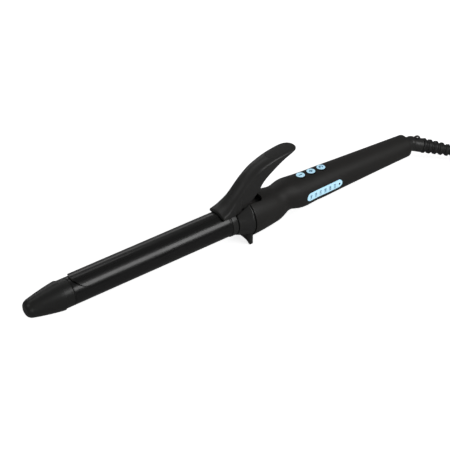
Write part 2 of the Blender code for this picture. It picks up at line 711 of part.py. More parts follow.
def build_controls():
    board_low = BOARD_TOP - BOARD_THICK
    middle = ((BOARD_FRONT + BOARD_REAR) / 2, 0, (BOARD_TOP + board_low) / 2)
    sheet = (BOARD_REAR - BOARD_FRONT, 2 * BOARD_HALF, BOARD_THICK)
    board = block("control_board", sheet, middle, "board_green", bevel=0)
    for place_name, x in (("front", 124.0), ("rear", 158.0)):
        cut(board, rod(f"board_hole_{place_name}", 1.3, (x, 0, 0), (x, 0, 10), sides=14))
        head = board_low - GAP
        shape = [(head - 1.2, 0.0), (head - 1.2, 1.9), (head, 1.9), (head, 0.75), (BOARD_TOP + 3.6, 0.75)]
        shape += [(BOARD_TOP + 3.6, 0.0)]
        turned(f"board_screw_{place_name}", shape, "steel", steps=16, at=(x, 0, 0), turn=(0, 0, 0))
    for name, x in zip(("down", "up", "power"), BUTTON_X):
        top = handle_top(x) + BUTTON_PROUD
        foot = BOARD_TOP + GAP + 4.2 + BUTTON_TRAVEL + 0.2
        flange = handle_top(x) - HANDLE_WALL - 1.3
        button = [
            (foot, 0.0),
            (foot, 2.4),
            (flange - 1.0, 2.4),
            (flange - 1.0, BUTTON_R + 0.9),
            (flange, BUTTON_R + 0.9),
            (flange, BUTTON_R),
            (top - 0.4, BUTTON_R),
            (top, BUTTON_R - 0.5),
            (top - 0.1, 0.0),
        ]
        turned(f"button_{name}", button, "light_blue", steps=28, at=(x, 0, 0), turn=(0, 0, 0))
        low = BOARD_TOP + GAP
        key = block(f"switch_{name}", (6, 6, 3.2), (x, 0, low + 1.6), "heat_plastic", bevel=0)
        join(key, rod(f"switch_stem_{name}", 1.7, (x, 0, low + 2), (x, 0, low + 4.2), sides=16))
    pill = stadium((WINDOW_X, WINDOW_Z), WINDOW_LONG, WINDOW_WIDE)
    window = prism("display_window", pill, "XZ", -25, -6, "light_blue")
    boolean(window, handle_core("window_skin", -0.05, 60, 160), "INTERSECT")
    cut(window, handle_core("window_back", HANDLE_WALL - 0.2, 55, 165))
    block("display_board", (46, 1.2, 7.4), (WINDOW_X, -9.6, WINDOW_Z - 0.6), "board_green", bevel=0)
    block("microcontroller", (9, 9, 1.4), (140, 0, BOARD_TOP + GAP + 0.7), "heat_plastic")
    block("triac", (14, 9, 3.6), (96, 0, board_low - GAP - 1.8), "heat_plastic")
    block("film_capacitor", (17, 7, 8.5), (141, 0, board_low - GAP - 4.25), "part_yellow", bevel=0.4)
    can_r = 3.6
    can_z = board_low - GAP - can_r
    rod("electrolytic_capacitor", can_r, (106, 0, can_z), (118, 0, can_z), "aluminium", 20)


# ---------------------------------------------------------------- swivel and cord


def cord_heading(bend, roll):
    """A direction that leaves the X axis by bend: towards -Z with no roll, towards -Y with a quarter turn."""
    side = math.sin(bend)
    return Vector((math.cos(bend), -side * math.sin(roll), -side * math.cos(roll)))


def cord_frame(distance):
    """The point and heading of the cord's centre line, at a distance from the elbow's centre."""
    leave = cord_heading(*ELBOW_LEAVE)
    droop = cord_heading(*RELIEF_LEAVE)
    level = Vector((droop.x, droop.y, 0)).normalized()
    point = Vector((ELBOW_X, 0, SWIVEL_Z - 0.6))
    heading = leave
    travelled = 0.0
    while travelled < distance:
        step = min(1.0, distance - travelled)
        travelled += step
        bent = min(max((travelled - SLEEVE_END) / RELIEF_LONG, 0.0), 1.0)
        flat = min(max((travelled - SLEEVE_END - RELIEF_LONG) / 30.0, 0.0), 1.0)
        heading = leave.lerp(droop, bent).lerp(level, flat).normalized()
        point = point + heading * step
    return point, heading


def cord_ring(distance, radius, sides):
    """A round section across the cord's centre line."""
    point, heading = cord_frame(distance)
    across = heading.cross(Vector((0, 0, 1))).normalized()
    up = across.cross(heading)
    angles = [2 * math.pi * (i + 0.5) / sides for i in range(sides)]
    return [point + (across * math.cos(a) + up * math.sin(a)) * radius for a in angles]


def build_swivel_head():
    axis = (0, 0, SWIVEL_Z)
    shaft = [
        (182.0, 0.0),
        (182.0, 3.8),
        (182.4, 4.2),
        (199.6, 4.2),
        (199.6, 5.0),
        (201.0, 5.0),
        (201.0, 4.0),
        (202.8, 4.0),
        (202.8, SHAFT_R),
        (HANDLE_REAR + GAP, SHAFT_R),
        (HANDLE_REAR + GAP, 7.6),
        (HANDLE_REAR + 1.4, 7.7),
        (HANDLE_REAR + 3.6, 7.1),
        (ELBOW_X - 2.0, 7.0),
        (ELBOW_X + 1.0, 5.0),
        (ELBOW_X + 1.0, 0.0),
    ]
    head = turned("swivel_head", shaft, "matte_black", steps=36, at=axis)
    centre, leave = cord_frame(0.0)
    turn = leave.to_track_quat("Z", "Y").to_euler()
    ball = bmesh.new()
    bmesh.ops.create_uvsphere(ball, u_segments=24, v_segments=14, radius=ELBOW_R * MM)
    knuckle = from_bmesh("swivel_knuckle", ball, None)
    knuckle.location = centre * MM
    knuckle.rotation_euler = turn
    sleeve = rod("swivel_sleeve", SLEEVE_R, centre, centre + leave * SLEEVE_END, sides=32)
    side = leave.cross(Vector((0, 0, 1))).normalized()
    up = side.cross(leave)
    around = steps_between(0, 1.8 * math.pi, 9)
    eye_ring = [(LOOP_WIRE * math.sin(a), LOOP_R + LOOP_WIRE * math.cos(a)) for a in around]
    eye = turned("hang_eye", eye_ring, ring=True, steps=24, at=centre + leave * LOOP_ALONG + up * LOOP_UP)
    eye.rotation_euler = side.to_track_quat("Z", "Y").to_euler()
    wire_way = rod("swivel_wire_way", CORD_R + GAP, centre + leave * 5.0, centre + leave * 30.0, sides=20)
    join(head, knuckle, sleeve, eye)
    cut(head, wire_way)


def build_swivel_contacts():
    axis = (0, 0, SWIVEL_Z)
    bush = [(204.5, SHAFT_R + 0.08), (204.5, 7.6), (213.5, 7.6), (213.5, SHAFT_R + 0.08)]
    turned("swivel_bushing", bush, "brass", ring=True, steps=36, at=axis)
    clip = [(201.3, 4.2), (201.3, 6.6), (202.4, 6.6), (202.4, 4.2)]
    turned("retaining_clip", clip, "steel", ring=True, steps=24, at=axis)
    for name, low in (("live", 185.0), ("neutral", 192.0)):
        band = [(low, 4.45), (low, 5.3), (low + 3.4, 5.3), (low + 3.4, 4.45)]
        turned("slip_ring_" + name, band, "brass", ring=True, steps=24, at=axis)
        block("brush_" + name, (2.6, 6.0, 0.7), (low + 1.7, 0.0, SWIVEL_Z - 6.2), "brass", bevel=0)


def build_cord():
    start = SLEEVE_END + GAP
    ribs = int(RELIEF_LONG / RIB_PITCH)
    outside = [(start, 7.2)]
    for i in range(ribs):
        low = start + i * RIB_PITCH
        outer = 7.5 - 2.3 * i / (ribs - 1)
        valley = outer - 1.35
        outside += [(low + 3.0, outer), (low + 3.6, valley), (low + 5.2, valley), (low + 5.8, outer - 0.2)]
    end = start + RELIEF_LONG
    outside += [(end, 4.1)]
    rings = [cord_ring(s, radius, 24) for s, radius in outside]
    rings += [cord_ring(s, CORD_R + GAP, 24) for s in steps_between(end, start, 9)]
    loft("strain_relief", rings, "rubber_black", closed=True)
    reach = SLEEVE_END + RELIEF_LONG + CORD_STUB
    loft("power_cord", [cord_ring(s, CORD_R, 16) for s in steps_between(6.0, reach, 22)], "rubber_black")


def hang_on_collar():
    """Hangs every part and cutter on an empty at the collar's face, which puts the origin at the tip."""
    collar = bpy.data.objects.new("collar_face", None)
    PARTS.objects.link(collar)
    collar.location.x = -TIP_END * MM
    for obj in [*PARTS.objects, *CUTTERS.objects]:
        if obj is not collar and obj.parent is None:
            obj.parent = collar


def build_all():
    build_barrel()
    build_cool_tip()
    build_heater()
    build_blade()
    build_lever()
    build_pivot()
    build_guard()
    build_handle()
    build_controls()
    build_swivel_head()
    build_swivel_contacts()
    build_cord()
    hang_on_collar()


build_all()
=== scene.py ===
"""Spring-clamp curling iron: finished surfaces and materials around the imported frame.

Lengths are in millimetres unless a name says otherwise, and MM turns them into metres. X runs along the
barrel from the cool tip to the cord, Z points up to the thumb lever, and the display faces -Y.
"""

import json
import math

import bmesh
import bpy
from mathutils import Matrix, Vector
from mathutils.bvhtree import BVHTree


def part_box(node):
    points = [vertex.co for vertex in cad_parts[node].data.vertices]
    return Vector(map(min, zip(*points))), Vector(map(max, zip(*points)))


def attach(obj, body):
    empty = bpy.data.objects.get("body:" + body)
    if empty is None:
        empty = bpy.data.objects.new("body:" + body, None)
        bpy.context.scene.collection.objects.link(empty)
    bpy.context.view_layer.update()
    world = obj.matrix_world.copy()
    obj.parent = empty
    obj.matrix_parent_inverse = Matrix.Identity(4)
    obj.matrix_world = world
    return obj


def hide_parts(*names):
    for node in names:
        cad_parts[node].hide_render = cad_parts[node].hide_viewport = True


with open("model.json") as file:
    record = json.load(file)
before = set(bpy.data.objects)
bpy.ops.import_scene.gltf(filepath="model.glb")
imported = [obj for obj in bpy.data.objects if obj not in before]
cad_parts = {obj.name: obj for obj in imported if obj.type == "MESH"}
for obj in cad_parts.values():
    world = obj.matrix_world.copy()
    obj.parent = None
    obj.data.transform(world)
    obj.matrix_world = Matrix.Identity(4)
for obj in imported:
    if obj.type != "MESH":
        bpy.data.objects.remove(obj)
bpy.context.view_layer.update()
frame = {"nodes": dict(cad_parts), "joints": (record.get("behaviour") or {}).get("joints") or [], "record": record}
NODES = frame["nodes"]

MM = 0.001
FINE = 1.0  # share of the full number of segments


DATUM = Vector((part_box("barrel_collar")[0].x, 0, 0)) / MM  # the collar's front face


def spot(node):
    """A CAD node's lowest and highest corners, in millimetres from the collar's front face."""
    low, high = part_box(node)
    return low / MM - DATUM, high / MM - DATUM


def count(number):
    return max(8, int(number * FINE))


# ---------------------------------------------------------------- sizes read from the frame

BARREL = spot("barrel")
BARREL_R = BARREL[1].y
TIP_END = spot("cool_tip")[0].x
COLLAR = spot("barrel_collar")
GUARD = spot("guard_stand")
HANDLE = spot("handle_upper")
HANDLE_FRONT = HANDLE[0].x
HANDLE_REAR = HANDLE[1].x
FLOOR_Z = min(GUARD[0].z, spot("power_cord")[0].z)
PIVOT = Vector(next(j["pos_m"] for j in frame["joints"] if j["name"] == "clamp_pivot")) / MM - DATUM
SWIVEL_Z = next(j["pos_m"][2] for j in frame["joints"] if j["name"] == "cord_swivel") / MM

# Shapes that the frame's boxes don't give
# Handle sections: top X and height, bottom X and depth, and half width
HANDLE_SECTIONS = (
    (HANDLE_FRONT, 19.6, HANDLE_FRONT, 20.3, 19.95),
    (32.0, 18.6, 33.0, 19.8, 19.2),
    (41.0, 17.5, 46.0, 18.6, 18.1),
    (48.0, 16.6, 56.0, 17.2, 17.0),
    (52.5, 15.8, 62.5, 14.75, 15.6),
    (55.5, 15.6, 67.5, 12.2, 14.6),
    (58.5, 16.2, 71.5, 11.8, 14.4),
    (62.0, 17.2, 75.0, 12.6, 15.0),
    (66.0, 18.1, 79.0, 13.8, 15.7),
    (71.0, 18.5, 83.0, 14.8, 16.2),
    (78.0, 17.9, 88.0, 15.2, 16.3),
    (87.0, 17.0, 94.0, 14.95, 16.0),
    (99.0, 16.3, 101.0, 14.5, 15.4),
    (112.0, 15.85, 112.0, 14.45, 15.15),
    (133.0, 14.85, 133.0, 13.85, 14.35),
    (184.0, 12.45, 184.0, 12.75, 12.6),
    (HANDLE_REAR, 10.7, HANDLE_REAR, 12.2, 11.45),
)
HANDLE_WALL = 2.2
PARTING_Z = -6.5
PARTING_GAP = 0.14
SEAM = 0.40  # gap round the window
KEY_R = 4.35
CAP_R = 4.15
KEY_SEAM = 0.34
SLOT_HALF = 9.4
FOOT_HALF = 15.0
SLOT_END = 37.0
TIP_NECK = 8.4
SLOT_CORNER = 4.0
FRONT_ROLL = 0.75
REAR_ROLL = 0.8
# Lever sections: top X and Z, bottom X and Z, half width and crown height
LEVER = (
    (-9.4, 16.8, -9.4, 11.9, 11.0, 3.6),
    (-3.0, 19.9, -3.0, 11.2, 10.6, 5.0),
    (2.5, 24.2, 3.0, 10.2, 9.6, 6.2),
    (7.0, 28.2, 8.5, 9.4, 8.9, 7.0),
    (12.5, 33.5, 15.5, 10.2, 8.8, 7.0),
    (18.5, 39.4, 22.0, 16.8, 8.75, 6.8),
    (24.5, 44.3, 28.0, 21.6, 8.7, 6.4),
    (31.0, 48.2, 33.0, 27.0, 8.7, 5.6),
    (37.5, 50.8, 38.5, 33.9, 8.7, 4.8),
    (49.0, 53.9, 48.5, 41.2, 8.8, 3.8),
    (61.0, 55.4, 60.5, 48.2, 8.9, 2.8),
    (70.0, 55.9, 70.5, 51.5, 8.4, 1.8),
    (75.5, 55.5, 76.2, 52.3, 6.6, 1.2),
    (78.2, 54.9, 78.7, 52.7, 4.0, 0.9),
    (79.2, 54.2, 79.4, 53.2, 1.0, 0.3),
)
LEVER_TIP_LONG = 18.0  # the part whose sides close in to the tip
LEVER_TIP_HALF = 8.9
LEVER_WALL = 2.3
BLADE_GAP = 0.35
BLADE_THICK = 1.2
BLADE_NOSE = 15.0
BLADE_HALF_ANGLE = math.radians(62)
PAD_HALF = 6.9
PAD_THICK = 1.3
PIN_R = 1.7

ELBOW_X = 231.5
ELBOW_R = 7.6
ELBOW_LEAVE = (math.radians(33.3), math.radians(65))
RELIEF_LEAVE = (math.radians(48.8), math.radians(75))
SLEEVE_END = 11.9
SLEEVE_R = 7.0
RELIEF_LONG = 45.0
RIB_PITCH = 6.2
CORD_R = 3.2
CORD_REACH = SLEEVE_END + RELIEF_LONG + 48.0
LOOP_R = 2.7
LOOP_WIRE = 0.95
LOOP_ALONG = 4.5
LOOP_UP = 6.7


# ---------------------------------------------------------------- mesh tools


def smooth_value(table, x, column, key=0):
    """A smooth curve through a table's column, by its key column."""
    last = len(table) - 1
    k = max(i for i in range(last) if i == 0 or table[i][key] <= x)
    x0, x1 = table[k][key], table[k + 1][key]
    t = min(max((x - x0) / (x1 - x0), 0.0), 1.0)

    def slope(i):
        a, b = max(i - 1, 0), min(i + 1, last)
        return (table[b][column] - table[a][column]) / (table[b][key] - table[a][key])

    span = x1 - x0
    y0, y1 = table[k][column], table[k + 1][column]
    m0, m1 = slope(k) * span, slope(k + 1) * span
    ends = (2 * t**3 - 3 * t**2 + 1) * y0 + (3 * t**2 - 2 * t**3) * y1
    return ends + (t**3 - 2 * t**2 + t) * m0 + (t**3 - t**2) * m1


def steps_between(low, high, number):
    return [low + (high - low) * i / number for i in range(number + 1)]


def shade(mesh, angle=32):
    mesh.shade_smooth()
    mesh.set_sharp_from_angle(angle=math.radians(angle))


def mesh_object(name, bm, angle=32):
    bmesh.ops.recalc_face_normals(bm, faces=bm.faces)
    mesh = bpy.data.meshes.new(name)
    bm.to_mesh(mesh)
    bm.free()
    shade(mesh, angle)
    obj = bpy.data.objects.new(name, mesh)
    bpy.context.scene.collection.objects.link(obj)
    return obj


def loft(name, rings, closed=False, angle=32):
    """A skin over rings with the same number of points, capped at its ends or joined end to end."""
    bm = bmesh.new()
    rows = [[bm.verts.new(Vector(point) * MM) for point in ring] for ring in rings]
    pairs = list(zip(rows, rows[1:]))
    if closed:
        pairs.append((rows[-1], rows[0]))
    else:
        bm.faces.new(rows[0])
        bm.faces.new(rows[-1])
    for low, high in pairs:
        for i in range(len(low)):
            j = (i + 1) % len(low)
            bm.faces.new((low[i], low[j], high[j], high[i]))
    return mesh_object(name, bm, angle)


def rounded(points, radii, steps=4):
    """An outline with rounded corners: radii holds a radius for each point, 0 for a sharp corner."""
    out = []
    total = len(points)
    for i, (corner, radius) in enumerate(zip(points, radii)):
        corner = Vector(corner)
        if radius <= 0 or i in (0, total - 1):
            out.append(corner)
            continue
        back = Vector(points[i - 1]) - corner
        ahead = Vector(points[i + 1]) - corner
        turn = back.angle(ahead)
        reach = min(radius / math.tan(turn / 2), back.length * 0.49, ahead.length * 0.49)
        start, end = corner + back.normalized() * reach, corner + ahead.normalized() * reach
        for k in range(steps + 1):
            t = k / steps
            out.append(start * (1 - t) ** 2 + corner * (2 * t * (1 - t)) + end * t**2)
    return out


def turned(name, profile, radii=None, segments=96, matrix=None, angle=32, closed=False):
    """Turns (distance along X, radius) pairs about the X axis; matrix then moves the result."""
    if radii:
        profile = rounded(profile, radii)
    segments = count(segments)
    bm = bmesh.new()
    rows = []
    for along, radius in profile:
        if radius < 1e-6:
            rows.append([bm.verts.new((along * MM, 0, 0))])
            continue
        row = []
        for i in range(segments):
            a = 2 * math.pi * i / segments
            row.append(bm.verts.new(Vector((along, radius * math.sin(a), radius * math.cos(a))) * MM))
        rows.append(row)
    pairs = list(zip(rows, rows[1:]))
    if closed:
        pairs.append((rows[-1], rows[0]))
    for low, high in pairs:
        for i in range(segments):
            j = (i + 1) % segments
            if len(low) == 1 and len(high) == 1:
                break
            if len(low) == 1:
                bm.faces.new((low[0], high[j], high[i]))
            elif len(high) == 1:
                bm.faces.new((low[i], low[j], high[0]))
            else:
                bm.faces.new((low[i], low[j], high[j], high[i]))
    if matrix:
        bmesh.ops.transform(bm, matrix=matrix, verts=bm.verts)
    return mesh_object(name, bm, angle)


def prism(name, outline, plane, low, high):
    """A flat outline in the XY, XZ or YZ plane, drawn out along the third axis from low to high."""
    lifts = {
        "XY": lambda a, b, c: (a, b, c),
        "XZ": lambda a, b, c: (a, c, b),
        "YZ": lambda a, b, c: (c, a, b),
    }
    lift = lifts[plane]
    bm = bmesh.new()
    face = bm.faces.new([bm.verts.new(Vector(lift(a, b, low)) * MM) for a, b in outline])
    moved = bmesh.ops.extrude_face_region(bm, geom=[face])["geom"]
    step = Vector(lift(0, 0, high - low)) * MM
    bmesh.ops.translate(bm, vec=step, verts=[v for v in moved if isinstance(v, bmesh.types.BMVert)])
    return mesh_object(name, bm)


def rod(name, radius, start, end, sides=64):
    start = Vector(start) * MM
    end = Vector(end) * MM
    turn = (end - start).to_track_quat("Z", "Y").to_matrix().to_4x4()
    bm = bmesh.new()
    bmesh.ops.create_cone(
        bm,
        cap_ends=True,
        segments=count(sides),
        radius1=radius * MM,
        radius2=radius * MM,
        depth=(end - start).length,
        matrix=Matrix.Translation((start + end) / 2) @ turn,
    )
    return mesh_object(name, bm)


def box_between(name, low, high):
    low, high = Vector(low), Vector(high)
    outline = [(low.x, low.y), (high.x, low.y), (high.x, high.y), (low.x, high.y)]
    return prism(name, outline, "XY", low.z, high.z)


def stadium(centre, long, wide, steps=16):
    half = (long - wide) / 2
    points = []
    for side, start in ((1, -90), (-1, 90)):
        for i in range(steps + 1):
            a = math.radians(start + 180 * i / steps)
            x = centre[0] + side * half + wide / 2 * math.cos(a)
            points.append((x, centre[1] + wide / 2 * math.sin(a)))
    return points


def combine(target, operation, *tools):
    """Applies Booleans to target's mesh and removes the tools."""
    for tool in tools:
        step = target.modifiers.new(tool.name, "BOOLEAN")
        step.operation = operation
        step.solver = "EXACT"
        step.object = tool
    bake(target)
    for tool in tools:
        bpy.data.objects.remove(tool, do_unlink=True)
    return target


def bake(obj):
    """Applies an object's modifiers to its mesh."""
    bpy.context.view_layer.update()
    graph = bpy.context.evaluated_depsgraph_get()
    mesh = bpy.data.meshes.new_from_object(obj.evaluated_get(graph))
    obj.modifiers.clear()
    old = obj.data
    obj.data = mesh
    bpy.data.meshes.remove(old)
    return obj


def soften(obj, width, segments=2, angle=38):
    """Rounds an object's sharp edges a little and keeps its flats flat in the shading."""
    bevel = obj.modifiers.new("soft_edges", "BEVEL")
    bevel.width = width * MM
    bevel.segments = segments
    bevel.limit_method = "ANGLE"
    bevel.angle_limit = math.radians(angle)
    bevel.use_clamp_overlap = True
    bevel.miter_outer = "MITER_ARC"
    bake(obj)
    shade(obj.data, 45)
    return obj


def remesh(obj, voxel, smooth=4):
    """Makes one blended skin of an object's joined shapes, as a moulding has."""
    skin = obj.modifiers.new("skin", "REMESH")
    skin.mode = "VOXEL"
    skin.voxel_size = voxel * MM / 1.0
    relax = obj.modifiers.new("relax", "SMOOTH")
    relax.factor = 0.5
    relax.iterations = smooth
    bake(obj)
    shade(obj.data, 60)
    return obj


def finish(obj, material, body, *nodes, slot=None):
    """Gives a piece its material, the body it rides on and the CAD nodes it stands for."""
    obj.data.transform(Matrix.Translation(DATUM * MM))
    obj.data.materials.clear()
    obj.data.materials.append(material)
    if nodes:
        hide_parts(*nodes)
    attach(obj, body)
    return obj


# ---------------------------------------------------------------- materials


def rgb(red, green, blue):
    return (red, green, blue, 1.0)


class Surface:
    """A Principled material built up from small procedural layers."""

    def __init__(self, name):
        self.material = bpy.data.materials.new(name)
        self.material.use_nodes = True
        self.tree = self.material.node_tree
        self.shader = self.tree.nodes["Principled BSDF"]
        place = self.node("ShaderNodeTexCoord")
        self.place = place.outputs["Object"]

    def node(self, kind, **values):
        made = self.tree.nodes.new(kind)
        for key, value in values.items():
            if key in made.inputs:
                made.inputs[key].default_value = value
            else:
                setattr(made, key, value)
        return made

    def link(self, source, target):
        self.tree.links.new(source, target)

    def noise(self, per_metre, detail=4.0, rough=0.55, stretch=None):
        source = self.place
        if stretch:
            scaled = self.node("ShaderNodeMapping")
            scaled.inputs["Scale"].default_value = stretch
            self.link(source, scaled.inputs["Vector"])
            source = scaled.outputs["Vector"]
        made = self.node("ShaderNodeTexNoise", Scale=per_metre, Detail=detail, Roughness=rough)
        self.link(source, made.inputs["Vector"])
        return made.outputs["Fac"]

    def span(self, value, low, high, out_low, out_high):
        made = self.node("ShaderNodeMapRange")
        limits = {"From Min": low, "From Max": high, "To Min": out_low, "To Max": out_high}
        for key, number in limits.items():
            made.inputs[key].default_value = number
        self.link(value, made.inputs["Value"])
        return made.outputs["Result"]

    def maths(self, operation, a, b):
        made = self.node("ShaderNodeMath", operation=operation)
        for i, value in enumerate((a, b)):
            if isinstance(value, (int, float)):
                made.inputs[i].default_value = value
            else:
                self.link(value, made.inputs[i])
        return made.outputs[0]

    def mix(self, share, first, second):
        made = self.node("ShaderNodeMix", data_type="RGBA")
        self.link(share, made.inputs["Factor"])
        made.inputs[6].default_value = first
        made.inputs[7].default_value = second
        return made.outputs[2]

    def edges(self, sharpness=0.02):
        """How much a point lies on a worn, outward edge, from 0 to 1."""
        bent = self.node("ShaderNodeNewGeometry").outputs["Pointiness"]
        return self.span(bent, 0.5 + sharpness * 0.6, 0.5 + sharpness * 2.4, 0.0, 1.0)

    def colour(self, output):
        self.link(output, self.shader.inputs["Base Color"])

    def roughness(self, output):
        self.link(output, self.shader.inputs["Roughness"])

    def bump(self, height, strength, distance_mm):
        made = self.node("ShaderNodeBump", Strength=strength, Distance=distance_mm * MM)
        self.link(height, made.inputs["Height"])
        last = self.shader.inputs["Normal"]
        if last.is_linked:
            self.link(last.links[0].from_socket, made.inputs["Normal"])
        self.link(made.outputs["Normal"], last)

    def set(self, **values):
        for key, value in values.items():
            self.shader.inputs[key.replace("_", " ")].default_value = value


def coated_metal(name, base, rough):
    """Glossy ceramic coating on metal: faint brushing along the barrel, smears and wear on the edges."""
    s = Surface(name)
    smear = s.noise(38, 5, 0.6, (0.35, 1.0, 1.0))
    streak = s.noise(900, 3, 0.6, (0.02, 1.0, 1.0))
    worn = s.maths("MULTIPLY", s.edges(0.03), s.span(s.noise(260, 6), 0.45, 0.62, 0.0, 0.55))
    s.colour(s.mix(worn, rgb(*base), rgb(0.10, 0.095, 0.09)))
    rougher = s.span(smear, 0.35, 0.7, rough, rough + 0.10)
    s.roughness(s.maths("ADD", rougher, s.span(streak, 0.4, 0.7, 0.0, 0.05)))
    s.bump(streak, 0.05, 0.02)
    s.bump(s.noise(2600, 2), 0.035, 0.01)
    s.set(IOR=1.5, Coat_Weight=0.2, Coat_Roughness=0.10)
    return s.material


def moulded(name, base, rough, grain=2200, grain_depth=0.05, sheen=0.0, edge=0.35):
    """Moulded plastic: an even eroded grain, slow variations in gloss and lighter edges."""
    s = Surface(name)
    slow = s.noise(22, 3)
    fine = s.noise(grain, 3, 0.65)
    pits = s.node("ShaderNodeTexVoronoi", Scale=grain * 0.75)
    s.link(s.place, pits.inputs["Vector"])
    lighter = rgb(*[min(c * 1.8 + 0.004, 1) for c in base])
    tone = s.maths("ADD", s.span(slow, 0.35, 0.65, 0.0, 0.22), s.span(fine, 0.35, 0.7, 0.0, 0.16))
    worn = s.maths("MULTIPLY", s.edges(0.025), s.span(s.noise(150, 5), 0.4, 0.6, 0.2, 1.0))
    s.colour(s.mix(s.maths("ADD", tone, s.maths("MULTIPLY", worn, edge)), rgb(*base), lighter))
    gloss = s.span(slow, 0.3, 0.7, rough - 0.04, rough + 0.06)
    s.roughness(s.maths("SUBTRACT", gloss, s.maths("MULTIPLY", worn, 0.08)))
    s.bump(fine, 0.35, grain_depth)
    s.bump(pits.outputs["Distance"], 0.25, grain_depth)
    s.set(IOR=1.48, Sheen_Weight=sheen, Sheen_Roughness=0.45)
    return s.material


def tinted(name, base, rough, painted_glow=0.0):
    """Light satin plastic of the keys and the display window, with a soft cloudy tint inside it. A glow, when
    given, is painted light: the plastic gives off a little of its own colour, though it is no lamp, so that it
    looks more brightly lit.
    """
    s = Surface(name)
    cloud = s.noise(90, 3)
    speck = s.noise(2400, 2)
    darker = rgb(base[0] * 0.80, base[1] * 0.88, base[2] * 0.94)
    s.colour(s.mix(s.span(cloud, 0.35, 0.7, 0.0, 0.6), rgb(*base), darker))
    s.roughness(s.span(cloud, 0.3, 0.7, rough - 0.05, rough + 0.07))
    s.bump(speck, 0.12, 0.02)
    s.set(IOR=1.49, Coat_Weight=0.15, Coat_Roughness=0.12)
    s.set(Subsurface_Weight=0.12, Subsurface_Scale=0.8 * MM)
    # painted light: a faint emission in the plastic's own colour makes it look more brightly lit, though it is no
    # lamp
    if painted_glow:
        s.set(Emission_Color=rgb(*base), Emission_Strength=painted_glow)
    return s.material


def metal(name, base, rough, brushing=(0.05, 1.0, 1.0)):
    s = Surface(name)
    lines = s.noise(1400, 3, 0.6, brushing)
    stain = s.noise(120, 5)
    s.colour(s.mix(s.span(stain, 0.4, 0.75, 0.0, 0.5), rgb(*base), rgb(*[c * 0.62 for c in base])))
    s.roughness(s.span(lines, 0.3, 0.7, rough - 0.07, rough + 0.12))
    s.bump(lines, 0.12, 0.02)
    s.set(Metallic=1.0)
    return s.material


BARREL_COAT = coated_metal("barrel_coat", (0.0030, 0.0030, 0.0028), 0.24)
BLADE_COAT = coated_metal("blade_coat", (0.0028, 0.0028, 0.0026), 0.22)
TIP_PLASTIC = moulded("tip_plastic", (0.0150, 0.0153, 0.0144), 0.36, 1800, 0.02)
LEVER_PLASTIC = moulded("lever_plastic", (0.0290, 0.0287, 0.0276), 0.38, 1900, 0.02)
GUARD_PLASTIC = moulded("guard_plastic", (0.0290, 0.0290, 0.0280), 0.36, 1900, 0.02)
SOFT_TOUCH = moulded("soft_touch", (0.0215, 0.0204, 0.0187), 0.55, 3000, 0.02, sheen=0.03, edge=0.15)
PAD_RUBBER = moulded("pad_rubber", (0.0270, 0.0268, 0.0258), 0.6, 2400, 0.02, sheen=0.03)
CORD_COVER = moulded("cord_cover", (0.0160, 0.0160, 0.0155), 0.40, 1500, 0.02)
KEY_RIM = moulded("key_rim", (0.0060, 0.0085, 0.0100), 0.4, 1900, 0.02)
# The keys and the display window carry painted light: a faint glow in their own colour, though neither is a lamp.
KEY_BLUE = tinted("key_blue", (0.48, 0.76, 0.92), 0.34, 0.62)
WINDOW_BLUE = tinted("window_blue", (0.50, 0.79, 0.94), 0.26, 0.72)
MARK_BLUE = tinted("mark_blue", (0.06, 0.19, 0.34), 0.42)
FIGURE_GREY = tinted("figure_grey", (0.22, 0.38, 0.52), 0.45)
LAMP_TEAL = tinted("lamp_teal", (0.01, 0.055, 0.085), 0.20)
INNER_PLASTIC = moulded("inner_plastic", (0.035, 0.032, 0.030), 0.55)
BLACKENED = metal("blackened_steel", (0.035, 0.035, 0.036), 0.42)
STEEL = metal("bare_steel", (0.52, 0.52, 0.53), 0.33)
ALUMINIUM = metal("aluminium", (0.66, 0.67, 0.68), 0.38)
BRASS = metal("brass", (0.68, 0.50, 0.22), 0.34)
CERAMIC = moulded("ceramic", (0.62, 0.60, 0.55), 0.5, 1500, 0.02)
BOARD = moulded("board_lacquer", (0.02, 0.14, 0.06), 0.3, 1200, 0.02)
YELLOW = moulded("capacitor_case", (0.55, 0.38, 0.06), 0.35, 1500, 0.02)
WIRE_RED = moulded("wire_red", (0.32, 0.02, 0.015), 0.45)
WIRE_BLUE = moulded("wire_blue", (0.02, 0.06, 0.30), 0.45)
WIRE_WHITE = moulded("wire_white", (0.55, 0.55, 0.52), 0.5)


# ---------------------------------------------------------------- barrel, collar and cool tip


def build_barrel():
    low, high = BARREL[0].x, BARREL[1].x
    inner = BARREL_R - 1.0
    lip = rounded([(low, inner), (low, BARREL_R), (low + 2.0, BARREL_R)], (0, 0.35, 0), 4)
    shape = lip + [(x, BARREL_R) for x in steps_between(low + 6.0, high, 24)] + [(high, inner)]
    barrel = turned("barrel_tube", shape, segments=160, closed=True)
    finish(barrel, BARREL_COAT, "wand", "barrel", slot="barrel_coating")
    x0, x1, r = COLLAR[0].x, COLLAR[1].x, COLLAR[1].y
    bore = BARREL_R + 0.08
    ring = [(x0, bore), (x0, r), (x1, r), (x1, 9.8), (x1 - 0.7, 9.8), (x1 - 0.7, bore)]
    collar = turned("collar_ring", rounded(ring, (0, 0.45, 0.7, 0, 0, 0)), segments=128, closed=True)
    finish(collar, GUARD_PLASTIC, "wand", "barrel_collar", slot="guard_plastic")


